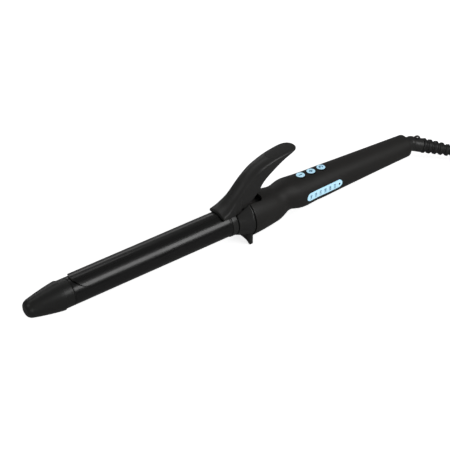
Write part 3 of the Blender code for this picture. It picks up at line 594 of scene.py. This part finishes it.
def build_cool_tip():
    front = BARREL[0].x - 0.3
    step = front + 0.3 - TIP_NECK
    outline = [
        (TIP_END, 0.0),
        (TIP_END, 3.8),
        (TIP_END + 1.2, 6.4),
        (TIP_END + 3.6, 8.1),
        (-202.0, 9.1),
        (-197.7, 10.05),
        (-193.2, 10.9),
        (-188.8, 11.7),
        (-183.9, 12.5),
        (-179.6, 13.15),
        (step, 13.5),
        (step, BARREL_R),
        (front, BARREL_R),
        (front, BARREL_R - 1.3),
        (front + 9.0, BARREL_R - 1.3),
        (front + 9.0, 9.6),
        (-198.0, 5.5),
        (-198.0, 0.0),
    ]
    radii = (0, 3.2, 3.0, 6.0, 20, 30, 30, 30, 30, 20, 0.45, 0.25, 0.18, 0, 0, 0, 0, 0)
    tip = turned("cool_tip_shell", rounded(outline, radii, 5), segments=128)
    finish(tip, TIP_PLASTIC, "wand", "cool_tip", slot="cool_plastic")


# ---------------------------------------------------------------- clamp


def build_blade():
    inner = BARREL_R + BLADE_GAP
    low, high = spot("clamp_blade")
    rear = -1.5
    sides, rows = count(56), count(90)
    bm = bmesh.new()
    grid = []
    for r in range(rows + 1):
        row = []
        for s in range(sides + 1):
            across = math.sin(math.pi / 2 * (-1 + 2 * s / sides))
            front = low.x + BLADE_NOSE * (1 - math.sqrt(max(1 - across**2, 0.0)))
            x = front + (rear - front) * (r / rows) ** 1.6
            narrowing = 1 - 0.12 * max(0.0, (x + 60) / 60) ** 2
            angle = across * BLADE_HALF_ANGLE * narrowing
            row.append(bm.verts.new(Vector((x, inner * math.sin(angle), inner * math.cos(angle))) * MM))
        grid.append(row)
    for near, far in zip(grid, grid[1:]):
        for s in range(sides):
            bm.faces.new((near[s], far[s], far[s + 1], near[s + 1]))
    blade = mesh_object("blade_sheet", bm)
    skin = blade.modifiers.new("sheet", "SOLIDIFY")
    skin.thickness = BLADE_THICK * MM
    skin.offset = 1.0
    bake(blade)
    top = inner + BLADE_THICK
    tongue = box_between("tongue", (-5.0, -4.4, top - 0.25), (high.x, 4.4, top + 0.85))
    combine(blade, "UNION", tongue)
    soften(blade, 0.42, 3, 50)
    finish(blade, BLADE_COAT, "clamp", "clamp_blade", slot="blade_coating")


def lever_ring(share, shrink=0.0, sides=28):
    """A section of the lever, at a share of its length: an arched top, upright sides, a flat underside."""
    keyed = [(i / (len(LEVER) - 1), *row) for i, row in enumerate(LEVER)]
    tx, tz, bx, bz, half, crown = (smooth_value(keyed, share, c) for c in range(1, 7))
    top, bottom = Vector((tx, 0, tz)), Vector((bx, 0, bz))
    into_tip = ((tx + bx) / 2 - (LEVER[-1][0] - LEVER_TIP_LONG)) / LEVER_TIP_LONG
    if into_tip > 0:
        half = max(LEVER_TIP_HALF * max(1 - into_tip**2.5, 0.0) ** 0.4, 0.5)
    up = (top - bottom).normalized()
    across = Vector((0, 1, 0))
    crown *= 1 - 2 * shrink / (top - bottom).length
    top -= up * shrink
    bottom += up * shrink
    half -= shrink
    arch = top - up * crown
    corner = min(1.3, ((top - bottom).length - crown) * 0.45)
    ring = []
    for i in range(7):
        a = math.pi / 2 * i / 6
        out = half - corner + corner * math.sin(a)
        ring.append(bottom + across * out + up * corner * (1 - math.cos(a)))
    for i in range(1, sides):
        a = math.pi * i / sides
        ring.append(arch + across * half * math.cos(a) + up * crown * math.sin(a) ** 0.92)
    left = [Vector((p.x, -p.y, p.z)) for p in ring[:7]]
    ring += reversed(left)
    return ring


def lever_rings(number):
    rings = [lever_ring(0.0, 0.55), lever_ring(0.001, 0.25), lever_ring(0.004, 0.06)]
    rings += [lever_ring(s) for s in steps_between(0.010, 1.0, number)]
    return rings


def lever_form(name, drop=0.0):
    form = loft(name, lever_rings(count(110)))
    form.location.z = -drop * MM
    return form


def build_lever():
    lever = lever_form("lever_body")
    tunnel = BARREL_R + BLADE_GAP + BLADE_THICK + 0.12
    channel = [(-5.6, 4), (-5.6, 15.4), (1.0, 19.4), (7.0, 24.6), (14.0, 31.0), (20.0, 36.4), (27.0, 41.6)]
    channel += [(33.0, 44.6), (37.5, 43.0), (36.0, 28.0), (24.0, 14.0), (17.0, 4)]
    wall = 8.8 - LEVER_WALL
    room = rod("lever_room", tunnel, (-14, 0, 0), (9.5, 0, 0), 160)
    hollow = prism("lever_hollow", channel, "XZ", -wall, wall)
    bore = rod("lever_bore", PIN_R, (PIVOT.x, -12, PIVOT.z), (PIVOT.x, 12, PIVOT.z), 48)
    combine(lever, "DIFFERENCE", room, hollow, bore)
    boss = rod("boss", 2.5, (8.6, 0, 16.2), (8.6, 0, 27.5), 32)
    combine(lever, "UNION", boss)
    combine(lever, "DIFFERENCE", rod("boss_hole", 1.3, (8.6, 0, 14), (8.6, 0, 20.8), 24))
    pad_low, pad_high = spot("thumb_pad")
    centre = ((pad_low.x + pad_high.x) / 2, 0)
    long = pad_high.x - pad_low.x
    pocket = prism("pocket", stadium(centre, long + 0.3, 2 * PAD_HALF + 0.3, 28), "XY", 40, 60)
    combine(pocket, "DIFFERENCE", lever_form("pocket_floor", PAD_THICK + 0.3))
    combine(lever, "DIFFERENCE", pocket)
    soften(lever, 0.16, 2, 50)
    finish(lever, LEVER_PLASTIC, "clamp", "clamp_lever", slot="lever_plastic")
    pad = prism("pad_skin", stadium(centre, long, 2 * PAD_HALF, 28), "XY", 40, 60)
    combine(pad, "INTERSECT", lever_form("pad_top", -0.12))
    combine(pad, "DIFFERENCE", lever_form("pad_floor", PAD_THICK))
    soften(pad, 0.3, 3, 50)
    finish(pad, PAD_RUBBER, "clamp", "thumb_pad", slot="pad_rubber")


# ---------------------------------------------------------------- guard and handle


def build_guard():
    front, rim = GUARD[0].x, GUARD[1].x
    rim_r, front_r, wall = 19.2, 13.8, 1.6
    shell = [
        (front, front_r - wall),
        (front, front_r),
        (rim - 2.0, rim_r - 0.6),
        (rim - 1.3, rim_r),
        (rim, rim_r),
        (rim, 11.4),
        (rim - 1.8, 11.4),
        (rim - 1.8, rim_r - wall - 0.6),
    ]
    radii = (0, 0.5, 0.5, 0.5, 0.6, 0, 0, 0)
    guard = turned("guard_shell", shell, radii, segments=144, closed=True)
    half, bottom = FOOT_HALF, GUARD[0].z
    right = [(4.0, bottom + 2.6), (8.0, bottom + 2.1), (10.8, bottom + 1.1), (12.0, bottom)]
    right += [(half - 0.8, bottom), (half, bottom + 0.9), (half, -11.4), (11.2, -11.4)]
    arch = [(9.0, -13.6), (5.0, -16.2), (0.0, -17.2)]
    outline = right + arch + [(-y, z) for y, z in reversed(right + arch[:-1])]
    foot = prism("foot", outline, "YZ", rim - 2.8, rim - 0.2)
    combine(guard, "UNION", foot)
    opening = box_between("opening", (-1, -SLOT_HALF, 6), (29, SLOT_HALF, 26))
    combine(guard, "DIFFERENCE", opening)
    soften(guard, 0.3, 2, 40)
    finish(guard, GUARD_PLASTIC, "wand", "guard_stand", slot="guard_plastic")


def handle_ring(section, inset, sides):
    """A leaning oval section of the handle, drawn in by inset."""
    top_x, up, bottom_x, down, half = section
    top, bottom = Vector((top_x, 0, up)), Vector((bottom_x, 0, -down))
    middle = (top + bottom) / 2
    rise = (top - bottom) / 2 * (1 - 2 * inset / (up + down))
    across = Vector((0, half - inset, 0))
    angles = [2 * math.pi * (i + 0.5) / sides for i in range(sides)]
    return [middle + rise * math.cos(a) + across * math.sin(a) for a in angles]


def handle_section(x):
    """The handle's section whose top lies at x."""
    return (x, *(smooth_value(HANDLE_SECTIONS, x, column) for column in range(1, 5)))


def handle_solid(name, inset, low, high, number, sides):
    """The handle's form drawn in by inset, between two places along its top."""
    rings = [handle_ring(handle_section(x), inset, sides) for x in steps_between(low, high, number)]
    return loft(name, rings)


def rolled_edge(section, outward, radius, sides, steps=5):
    """Rings round one end of the handle, from its flat end face to its skin."""
    top_x, up, bottom_x, down, half = section
    rings = []
    for k in range(steps):
        a = math.pi / 2 * k / steps
        along = outward * radius * (1 - math.sin(a))
        moved = (top_x + outward * radius - along, up, bottom_x + outward * radius - along, down, half)
        rings.append(handle_ring(moved, radius * (1 - math.cos(math.pi / 2 - a)), sides))
    return rings


def handle_skin(name, number, sides):
    """The handle's outer skin, with rolled edges at its front and rear."""
    front, rear = HANDLE_FRONT + FRONT_ROLL, HANDLE_REAR - REAR_ROLL
    rings = rolled_edge(handle_section(front), -1, FRONT_ROLL, sides)
    rings += [handle_ring(handle_section(x), 0.0, sides) for x in steps_between(front, rear, number)]
    rings += reversed(rolled_edge(handle_section(rear), 1, REAR_ROLL, sides))
    return loft(name, rings)


def slot_outline():
    """The lever's opening from above: open at the front, with two rounded corners at its rear."""
    middle, side = SLOT_END - SLOT_CORNER, SLOT_HALF - SLOT_CORNER
    outline = [(HANDLE_FRONT - 10, -SLOT_HALF)]
    for start, y in ((-90, -side), (0, side)):
        for turn in steps_between(start, start + 90, 8):
            a = math.radians(turn)
            outline.append((middle + SLOT_CORNER * math.cos(a), y + SLOT_CORNER * math.sin(a)))
    return [*outline, (HANDLE_FRONT - 10, SLOT_HALF)]


def handle_shell(name):
    shell = handle_skin(name, count(180), count(112))
    cavity = handle_solid("cavity", HANDLE_WALL, 23.9, 216.4, count(60), count(48))
    nose = rod("nose_hole", 11.2, (18, 0, 0), (26, 0, 0), 80)
    tail = rod("tail_hole", 5.2, (214, 0, SWIVEL_Z), (224, 0, SWIVEL_Z), 64)
    return combine(shell, "DIFFERENCE", cavity, nose, tail)


def button_places():
    for name in ("down", "up", "power"):
        low, high = spot("button_" + name)
        yield name, (low.x + high.x) / 2, high.z


def window_place():
    low, high = spot("display_window")
    return (low.x + high.x) / 2, (low.z + high.z) / 2, high.x - low.x, high.z - low.z


def build_handle():
    upper = handle_shell("handle_upper_shell")
    below = box_between("below", (-10, -30, -46), (250, 30, PARTING_Z))
    slot = prism("slot", slot_outline(), "XY", 10.6, 40.0)
    holes = [rod("key_hole", KEY_R + KEY_SEAM, (x, 0, 6), (x, 0, 26), 72) for _, x, _ in button_places()]
    x, z, long, wide = window_place()
    pill = prism("window_hole", stadium((x, z), long + 2 * SEAM, wide + 2 * SEAM, 28), "XZ", -25, -6)
    combine(upper, "DIFFERENCE", below, slot, pill, *holes)
    soften(upper, 0.16, 2, 48)
    finish(upper, SOFT_TOUCH, "wand", "handle_upper", slot="soft_touch")
    lower = handle_shell("handle_lower_shell")
    above = box_between("above", (-10, -30, PARTING_Z - PARTING_GAP), (250, 30, 46))
    wells = []
    for node in ("handle_screw_front", "handle_screw_rear"):
        low, high = spot(node)
        centre = (low.x + high.x) / 2
        wells.append(rod("well", 2.9, (centre, 0, -30), (centre, 0, low.z + 1.7), 48))
    combine(lower, "DIFFERENCE", above, *wells)
    soften(lower, 0.16, 2, 48)
    finish(lower, SOFT_TOUCH, "wand", "handle_lower", slot="soft_touch")


# ---------------------------------------------------------------- keys and display


def upright(x, z=0.0):
    """Stands a turned shape, whose axis is X, upright at x."""
    return Matrix.Translation(Vector((x, 0, z)) * MM) @ Matrix.Rotation(math.radians(-90), 4, "Y")


def strokes(name, shapes):
    """One flat mark made of several shapes, each given as a prism's outline, plane, low and high."""
    parts = [prism(name if i == 0 else f"{name}_{i}", *shape) for i, shape in enumerate(shapes)]
    bm = bmesh.new()
    for part in parts:
        bm.from_mesh(part.data)
    mark = parts[0]
    bm.to_mesh(mark.data)
    bm.free()
    for part in parts[1:]:
        bpy.data.objects.remove(part, do_unlink=True)
    return mark


def bar(cx, cy, long, wide, turn=0.0):
    out = []
    for x, y in stadium((0, 0), long, wide, 6):
        c, s = math.cos(turn), math.sin(turn)
        out.append((cx + c * x - s * y, cy + s * x + c * y))
    return out


def arc_band(cx, cy, radius, wide, start, end, steps=24):
    angles = [math.radians(a) for a in steps_between(start, end, steps)]
    sides = []
    for reach in (radius + wide / 2, radius - wide / 2):
        sides.append([(cx + reach * math.cos(a), cy + reach * math.sin(a)) for a in angles])
    return sides[0] + sides[1][::-1]


def key_sign(name, x):
    """The outlines of a key's sign: minus, plus or a power ring."""
    if name == "down":
        return [bar(x, 0, 4.2, 0.95)]
    if name == "up":
        return [bar(x, 0, 4.2, 0.95), bar(x, 0, 4.2, 0.95, math.pi / 2)]
    return [arc_band(x, 0, 1.75, 0.75, -50, 230), bar(x, 1.3, 2.2, 0.75, math.pi / 2)]


def surface_of(obj):
    bpy.context.view_layer.update()
    return BVHTree.FromObject(obj, bpy.context.evaluated_depsgraph_get())


def lay_onto(obj, surface, way):
    """Moves a flat mark along way until its middle depth lies in a surface, and keeps its thickness."""
    way = Vector(way)
    for vertex in obj.data.vertices:
        depth = vertex.co.dot(way)
        outside = vertex.co - way * (depth + 0.05)
        hit = surface.ray_cast(outside, way)[0]
        vertex.co = hit + way * depth
    obj.data.update()


def build_keys():
    """Each key is a dark rubber body with a light cap let into its top, and a sign on the cap."""
    for name, x, top in button_places():
        body = f"{name}_button"
        low = spot("button_" + name)[0].z
        rim = top - 0.06
        flange = top - 4.2
        stem, brim, seat = 2.4, KEY_R + 0.9, CAP_R + 0.05
        outline = [(low, 0.0), (low, stem), (flange - 1.0, stem), (flange - 1.0, brim), (flange, brim)]
        outline += [(flange, KEY_R), (rim, KEY_R), (rim, seat), (rim - 0.5, seat), (rim - 0.5, 0.0)]
        radii = (0, 0, 0, 0, 0, 0, 0.3, 0.1, 0, 0)
        key = turned(f"key_{name}", outline, radii, segments=72, matrix=upright(x))
        finish(key, KEY_RIM, body, "button_" + name, slot="key_plastic")
        under = rim - 0.46
        face = [(under, 0.0), (under, CAP_R), (top, CAP_R), (top - 0.08, CAP_R * 0.6), (top - 0.12, 0.0)]
        cap = turned(f"key_cap_{name}", face, (0, 0, 0.2, 2, 0), segments=72, matrix=upright(x))
        skin = surface_of(cap)
        finish(cap, KEY_BLUE, body, slot="key_plastic")
        mark = strokes(f"key_mark_{name}", [(line, "XY", -0.04, 0.2) for line in key_sign(name, x)])
        lay_onto(mark, skin, (0, 0, -1))
        finish(mark, MARK_BLUE, body, slot="key_plastic")


SETTINGS = ("140", "155", "170", "185", "200", "215")


def digits(name, text, x, z, size):
    """Figures that read across the window, one set in its thickness along Y."""
    curve = bpy.data.curves.new(name, "FONT")
    curve.body = text
    curve.size = size * MM
    curve.align_x = "CENTER"
    curve.align_y = "CENTER"
    curve.extrude = 0.10 * MM
    curve.offset = 0.10 * MM
    curve.resolution_u = 3
    made = bpy.data.objects.new(name, curve)
    bpy.context.scene.collection.objects.link(made)
    bpy.context.view_layer.update()
    mesh = bpy.data.meshes.new_from_object(made.evaluated_get(bpy.context.evaluated_depsgraph_get()))
    bpy.data.objects.remove(made, do_unlink=True)
    # The text's X runs up the window's width, its Y towards -X, and its depth becomes -Y.
    mesh.transform(Matrix(((0, -1, 0, x * MM), (0, 0, -1, 0), (1, 0, 0, z * MM), (0, 0, 0, 1))))
    obj = bpy.data.objects.new(name, mesh)
    bpy.context.scene.collection.objects.link(obj)
    return obj


def build_window():
    x, z, long, wide = window_place()
    window = prism("window_lens", stadium((x, z), long, wide, 28), "XZ", -25, -6)
    combine(window, "INTERSECT", handle_solid("lens_skin", -0.05, 70, 150, count(60), count(160)))
    combine(window, "DIFFERENCE", handle_solid("lens_back", 2.0, 65, 155, count(24), count(48)))
    soften(window, 0.22, 3, 50)
    lens = surface_of(window)
    first, pitch = x - long / 2 + 4.4, 6.0
    for i, text in enumerate(SETTINGS):
        figures = digits(f"setting_{text}", text, first + i * pitch, z, 3.3)
        lay_onto(figures, lens, (0, 1, 0))
        finish(figures, FIGURE_GREY, "wand", slot="window_plastic")
    dome = [(-0.5, 0.0), (-0.5, 1.2), (0.0, 1.15), (0.25, 0.65), (0.32, 0.0)]
    lamp = turned("power_lamp", rounded(dome, (0, 0.2, 0.3, 0.4, 0)), segments=40)
    lamp.data.transform(Matrix.Rotation(math.radians(-90), 4, "Z"))
    lamp.data.transform(Matrix.Translation(Vector((x + long / 2 - 3.6, 0, z)) * MM))
    lay_onto(lamp, lens, (0, 1, 0))
    finish(lamp, LAMP_TEAL, "wand", slot="window_plastic")
    finish(window, WINDOW_BLUE, "wand", "display_window", slot="window_plastic")


# ---------------------------------------------------------------- swivel and cord


def cord_heading(bend, roll):
    side = math.sin(bend)
    return Vector((math.cos(bend), -side * math.sin(roll), -side * math.cos(roll)))


def cord_frame(distance):
    """The point and heading of the cord's centre line, at a distance from the elbow's centre."""
    leave = cord_heading(*ELBOW_LEAVE)
    droop = cord_heading(*RELIEF_LEAVE)
    level = Vector((droop.x, droop.y, 0)).normalized()
    point = Vector((ELBOW_X, 0, SWIVEL_Z - 0.6))
    heading = leave
    travelled = 0.0
    while travelled < distance:
        step = min(1.0, distance - travelled)
        travelled += step
        bent = min(max((travelled - SLEEVE_END) / RELIEF_LONG, 0.0), 1.0)
        flat = min(max((travelled - SLEEVE_END - RELIEF_LONG) / 30.0, 0.0), 1.0)
        heading = leave.lerp(droop, bent).lerp(level, flat).normalized()
        point = point + heading * step
    return point, heading


def cord_ring(distance, radius, sides):
    point, heading = cord_frame(distance)
    across = heading.cross(Vector((0, 0, 1))).normalized()
    up = across.cross(heading)
    angles = [2 * math.pi * (i + 0.5) / sides for i in range(sides)]
    return [point + (across * math.cos(a) + up * math.sin(a)) * radius for a in angles]


def build_swivel():
    centre, leave = cord_frame(0.0)
    rear = HANDLE_REAR + 0.25
    outline = [(202.8, 0.0), (202.8, 5.0), (rear, 5.0), (rear, 7.6), (rear + 1.4, 7.7), (rear + 3.6, 7.0)]
    outline += [(ELBOW_X - 2.0, 7.0), (ELBOW_X + 1.0, 5.0), (ELBOW_X + 1.0, 0.0)]
    lift = Matrix.Translation(Vector((0, 0, SWIVEL_Z)) * MM)
    neck = turned("swivel_elbow", outline, (0, 0, 0, 0.6, 0.9, 2.5, 2, 0, 0), segments=96, matrix=lift)
    ball = bmesh.new()
    bmesh.ops.create_uvsphere(ball, u_segments=count(96), v_segments=count(64), radius=ELBOW_R * MM)
    bmesh.ops.translate(ball, vec=centre * MM, verts=ball.verts)
    knuckle = mesh_object("knuckle", ball)
    sleeve = rod("sleeve", SLEEVE_R, centre, centre + leave * SLEEVE_END, 96)
    side = leave.cross(Vector((0, 0, 1))).normalized()
    up = side.cross(leave)
    around = steps_between(0, 1.9 * math.pi, 19)
    ring = [(LOOP_WIRE * math.sin(a), LOOP_R + LOOP_WIRE * math.cos(a)) for a in around]
    place = Matrix.Translation((centre + leave * LOOP_ALONG + up * LOOP_UP) * MM)
    turn = side.to_track_quat("X", "Z").to_matrix().to_4x4()
    eye = turned("eye", ring, segments=64, matrix=place @ turn, closed=True)
    combine(neck, "UNION", knuckle, sleeve, eye)
    remesh(neck, 0.28, 5)
    way = rod("wire_way", CORD_R + 0.1, centre + leave * 6.0, centre + leave * 30.0, 48)
    combine(neck, "DIFFERENCE", way)
    shade(neck.data, 50)
    finish(neck, LEVER_PLASTIC, "swivel", "swivel_head", slot="lever_plastic")


def build_cord():
    start = SLEEVE_END + 0.15
    end = SLEEVE_END + 0.3 + RELIEF_LONG
    ribs = int(RELIEF_LONG / RIB_PITCH)
    outside = [(start, CORD_R + 0.1), (start, 6.8), (start + 0.3, 7.2)]
    for i in range(ribs):
        low = start + i * RIB_PITCH
        outer = 7.45 - 2.3 * i / (ribs - 1)
        crest = [(0.45, -0.25), (1.0, -0.02), (1.7, 0.05), (2.4, 0.0), (2.9, -0.2), (3.2, -0.6), (3.5, -1.25)]
        crest += [(3.9, -1.5), (4.5, -1.55), (5.1, -1.5), (5.5, -1.3), (5.8, -0.9), (6.1, -0.5)]
        outside += [(low + along, outer + rise) for along, rise in crest]
    outside += [(end - 1.0, 4.15), (end - 0.3, 4.05), (end, 3.7), (end, CORD_R + 0.1)]
    sides = count(72)
    rings = [cord_ring(s, radius, sides) for s, radius in outside]
    rings += [cord_ring(s, CORD_R + 0.1, sides) for s in steps_between(end - 1, start + 1, 12)]
    relief = loft("relief_boot", rings, closed=True, angle=40)
    finish(relief, CORD_COVER, "swivel", "strain_relief", slot="cord_rubber")
    lengths = steps_between(6.0, CORD_REACH, count(80))
    rings = [cord_ring(s, CORD_R, count(48)) for s in lengths]
    rings += [cord_ring(CORD_REACH + 0.01, CORD_R - 0.3, count(48))]
    cord = loft("cord_stub", rings, angle=40)
    finish(cord, CORD_COVER, "swivel", "power_cord", slot="cord_rubber")


# ---------------------------------------------------------------- CAD nodes that stay


def dress_inner_parts():
    looks = {
        "inner_plastic": INNER_PLASTIC,
        "steel": STEEL,
        "aluminium": ALUMINIUM,
        "brass": BRASS,
        "ceramic": CERAMIC,
        "board": BOARD,
        "capacitor_yellow": YELLOW,
        "wire_red": WIRE_RED,
        "wire_blue": WIRE_BLUE,
        "wire_white": WIRE_WHITE,
    }
    for entry in frame["record"]["subparts"]:
        material = looks.get(entry["material_slot"])
        if entry["node"] == "pivot_pin":
            material = BLACKENED
        if material:
            obj = NODES[entry["node"]]
            obj.data.materials.clear()
            obj.data.materials.append(material)
            shade(obj.data, 35)


# ---------------------------------------------------------------- stage, lights and camera


def seen_by_camera(tree, shown, felt, target):
    """Sends one shader to the camera and another to every other ray."""
    path = tree.nodes.new("ShaderNodeLightPath")
    choice = tree.nodes.new("ShaderNodeMixShader")
    tree.links.new(path.outputs["Is Camera Ray"], choice.inputs["Fac"])
    tree.links.new(felt, choice.inputs[1])
    tree.links.new(shown, choice.inputs[2])
    tree.links.new(choice.outputs[0], target)


def build_stage():
    half = 3.0
    level = FLOOR_Z * MM - 0.0003
    bm = bmesh.new()
    corners = ((-half, -half), (half, -half), (half, half), (-half, half))
    bm.faces.new([bm.verts.new((x, y, level)) for x, y in corners])
    floor = mesh_object("floor", bm)
    s = Surface("floor_paint")
    s.colour(s.mix(s.noise(6, 3), rgb(0.93, 0.93, 0.93), rgb(0.96, 0.96, 0.96)))
    s.set(Roughness=0.9, Specular_IOR_Level=0.0)
    s.set(Emission_Color=rgb(1, 1, 1), Emission_Strength=FLOOR_GLOW)
    dim = s.node("ShaderNodeBsdfDiffuse", Color=rgb(*[FLOOR_BOUNCE] * 3))
    output = s.tree.nodes["Material Output"].inputs["Surface"]
    seen_by_camera(s.tree, s.shader.outputs[0], dim.outputs[0], output)
    floor.data.materials.append(s.material)


def aim(obj, target):
    obj.rotation_euler = (target - obj.location).to_track_quat("-Z", "Y").to_euler()


def from_collar(place):
    return Vector(place) + DATUM * MM


def area_light(name, place, target, wide, tall, radiance):
    """A soft box: radiance is the brightness of its face, so its power follows from its area.

    Its place and target are in metres from the collar's front face.
    """
    data = bpy.data.lights.new(name, "AREA")
    data.shape = "RECTANGLE"
    data.size = wide
    data.size_y = tall
    data.energy = radiance * math.pi * wide * tall
    obj = bpy.data.objects.new(name, data)
    bpy.context.scene.collection.objects.link(obj)
    obj.location = from_collar(place)
    obj.visible_camera = False
    aim(obj, from_collar(target))


FLOOR_GLOW = 0.80
FLOOR_BOUNCE = 0.50
ROOM_LOW = 0.06  # brightness of the room near the floor and overhead, as the object reflects it
ROOM_HIGH = 0.17


def build_lights():
    world = bpy.data.worlds.new("studio")
    bpy.context.scene.world = world
    world.use_nodes = True
    tree = world.node_tree
    felt = tree.nodes["Background"]
    place = tree.nodes.new("ShaderNodeTexCoord")
    apart = tree.nodes.new("ShaderNodeSeparateXYZ")
    span = tree.nodes.new("ShaderNodeMapRange")
    span.inputs["From Min"].default_value = -0.1
    span.inputs["To Min"].default_value = ROOM_LOW
    span.inputs["To Max"].default_value = ROOM_HIGH
    tree.links.new(place.outputs["Generated"], apart.inputs[0])
    tree.links.new(apart.outputs["Z"], span.inputs["Value"])
    tree.links.new(span.outputs["Result"], felt.inputs["Strength"])
    felt.inputs["Color"].default_value = rgb(1.0, 1.0, 1.0)
    shown = tree.nodes.new("ShaderNodeBackground")
    shown.inputs["Color"].default_value = rgb(1.0, 1.0, 1.0)
    seen_by_camera(tree, shown.outputs[0], felt.outputs[0], tree.nodes["World Output"].inputs["Surface"])
    area_light("front_box", (0.42, -0.78, 0.66), (-0.05, 0, 0), 0.60, 0.42, 4.2)
    area_light("top_box", (-0.1, 0.62, 1.1), (0, 0, 0), 1.3, 0.30, 0.9)
    area_light("side_box", (-1.1, 0.1, 0.7), (0, 0, 0), 0.5, 0.7, 1.0)
    area_light("fill_box", (-0.75, -1.0, 0.10), (0, 0, 0), 0.6, 0.4, 2.2)
    area_light("back_box", (0.25, 1.1, 0.45), (0.05, 0, 0), 0.9, 0.35, 0.9)


CAMERA_AZIMUTH = math.radians(-37.5)
CAMERA_HEIGHT = math.radians(34.8)
CAMERA_AWAY = 1.270
CAMERA_LENS = 112.0
CAMERA_AIM = (-0.0006, -0.0008, -0.0013)


def build_camera():
    data = bpy.data.cameras.new("photo_view")
    data.lens = CAMERA_LENS
    data.sensor_width = 36.0
    data.clip_start = 0.05
    data.clip_end = 50.0
    obj = bpy.data.objects.new("photo_view", data)
    bpy.context.scene.collection.objects.link(obj)
    flat = math.cos(CAMERA_HEIGHT)
    east, north = math.sin(CAMERA_AZIMUTH) * flat, -math.cos(CAMERA_AZIMUTH) * flat
    way = Vector((east, north, math.sin(CAMERA_HEIGHT)))
    centre = from_collar(CAMERA_AIM)
    obj.location = centre + way * CAMERA_AWAY
    aim(obj, centre)
    bpy.context.scene.camera = obj


def build_all():
    build_barrel()
    build_cool_tip()
    build_blade()
    build_lever()
    build_guard()
    build_handle()
    build_keys()
    build_window()
    build_swivel()
    build_cord()
    dress_inner_parts()
    build_stage()
    build_lights()
    build_camera()
    bpy.context.scene.view_settings.view_transform = "Standard"


build_all()
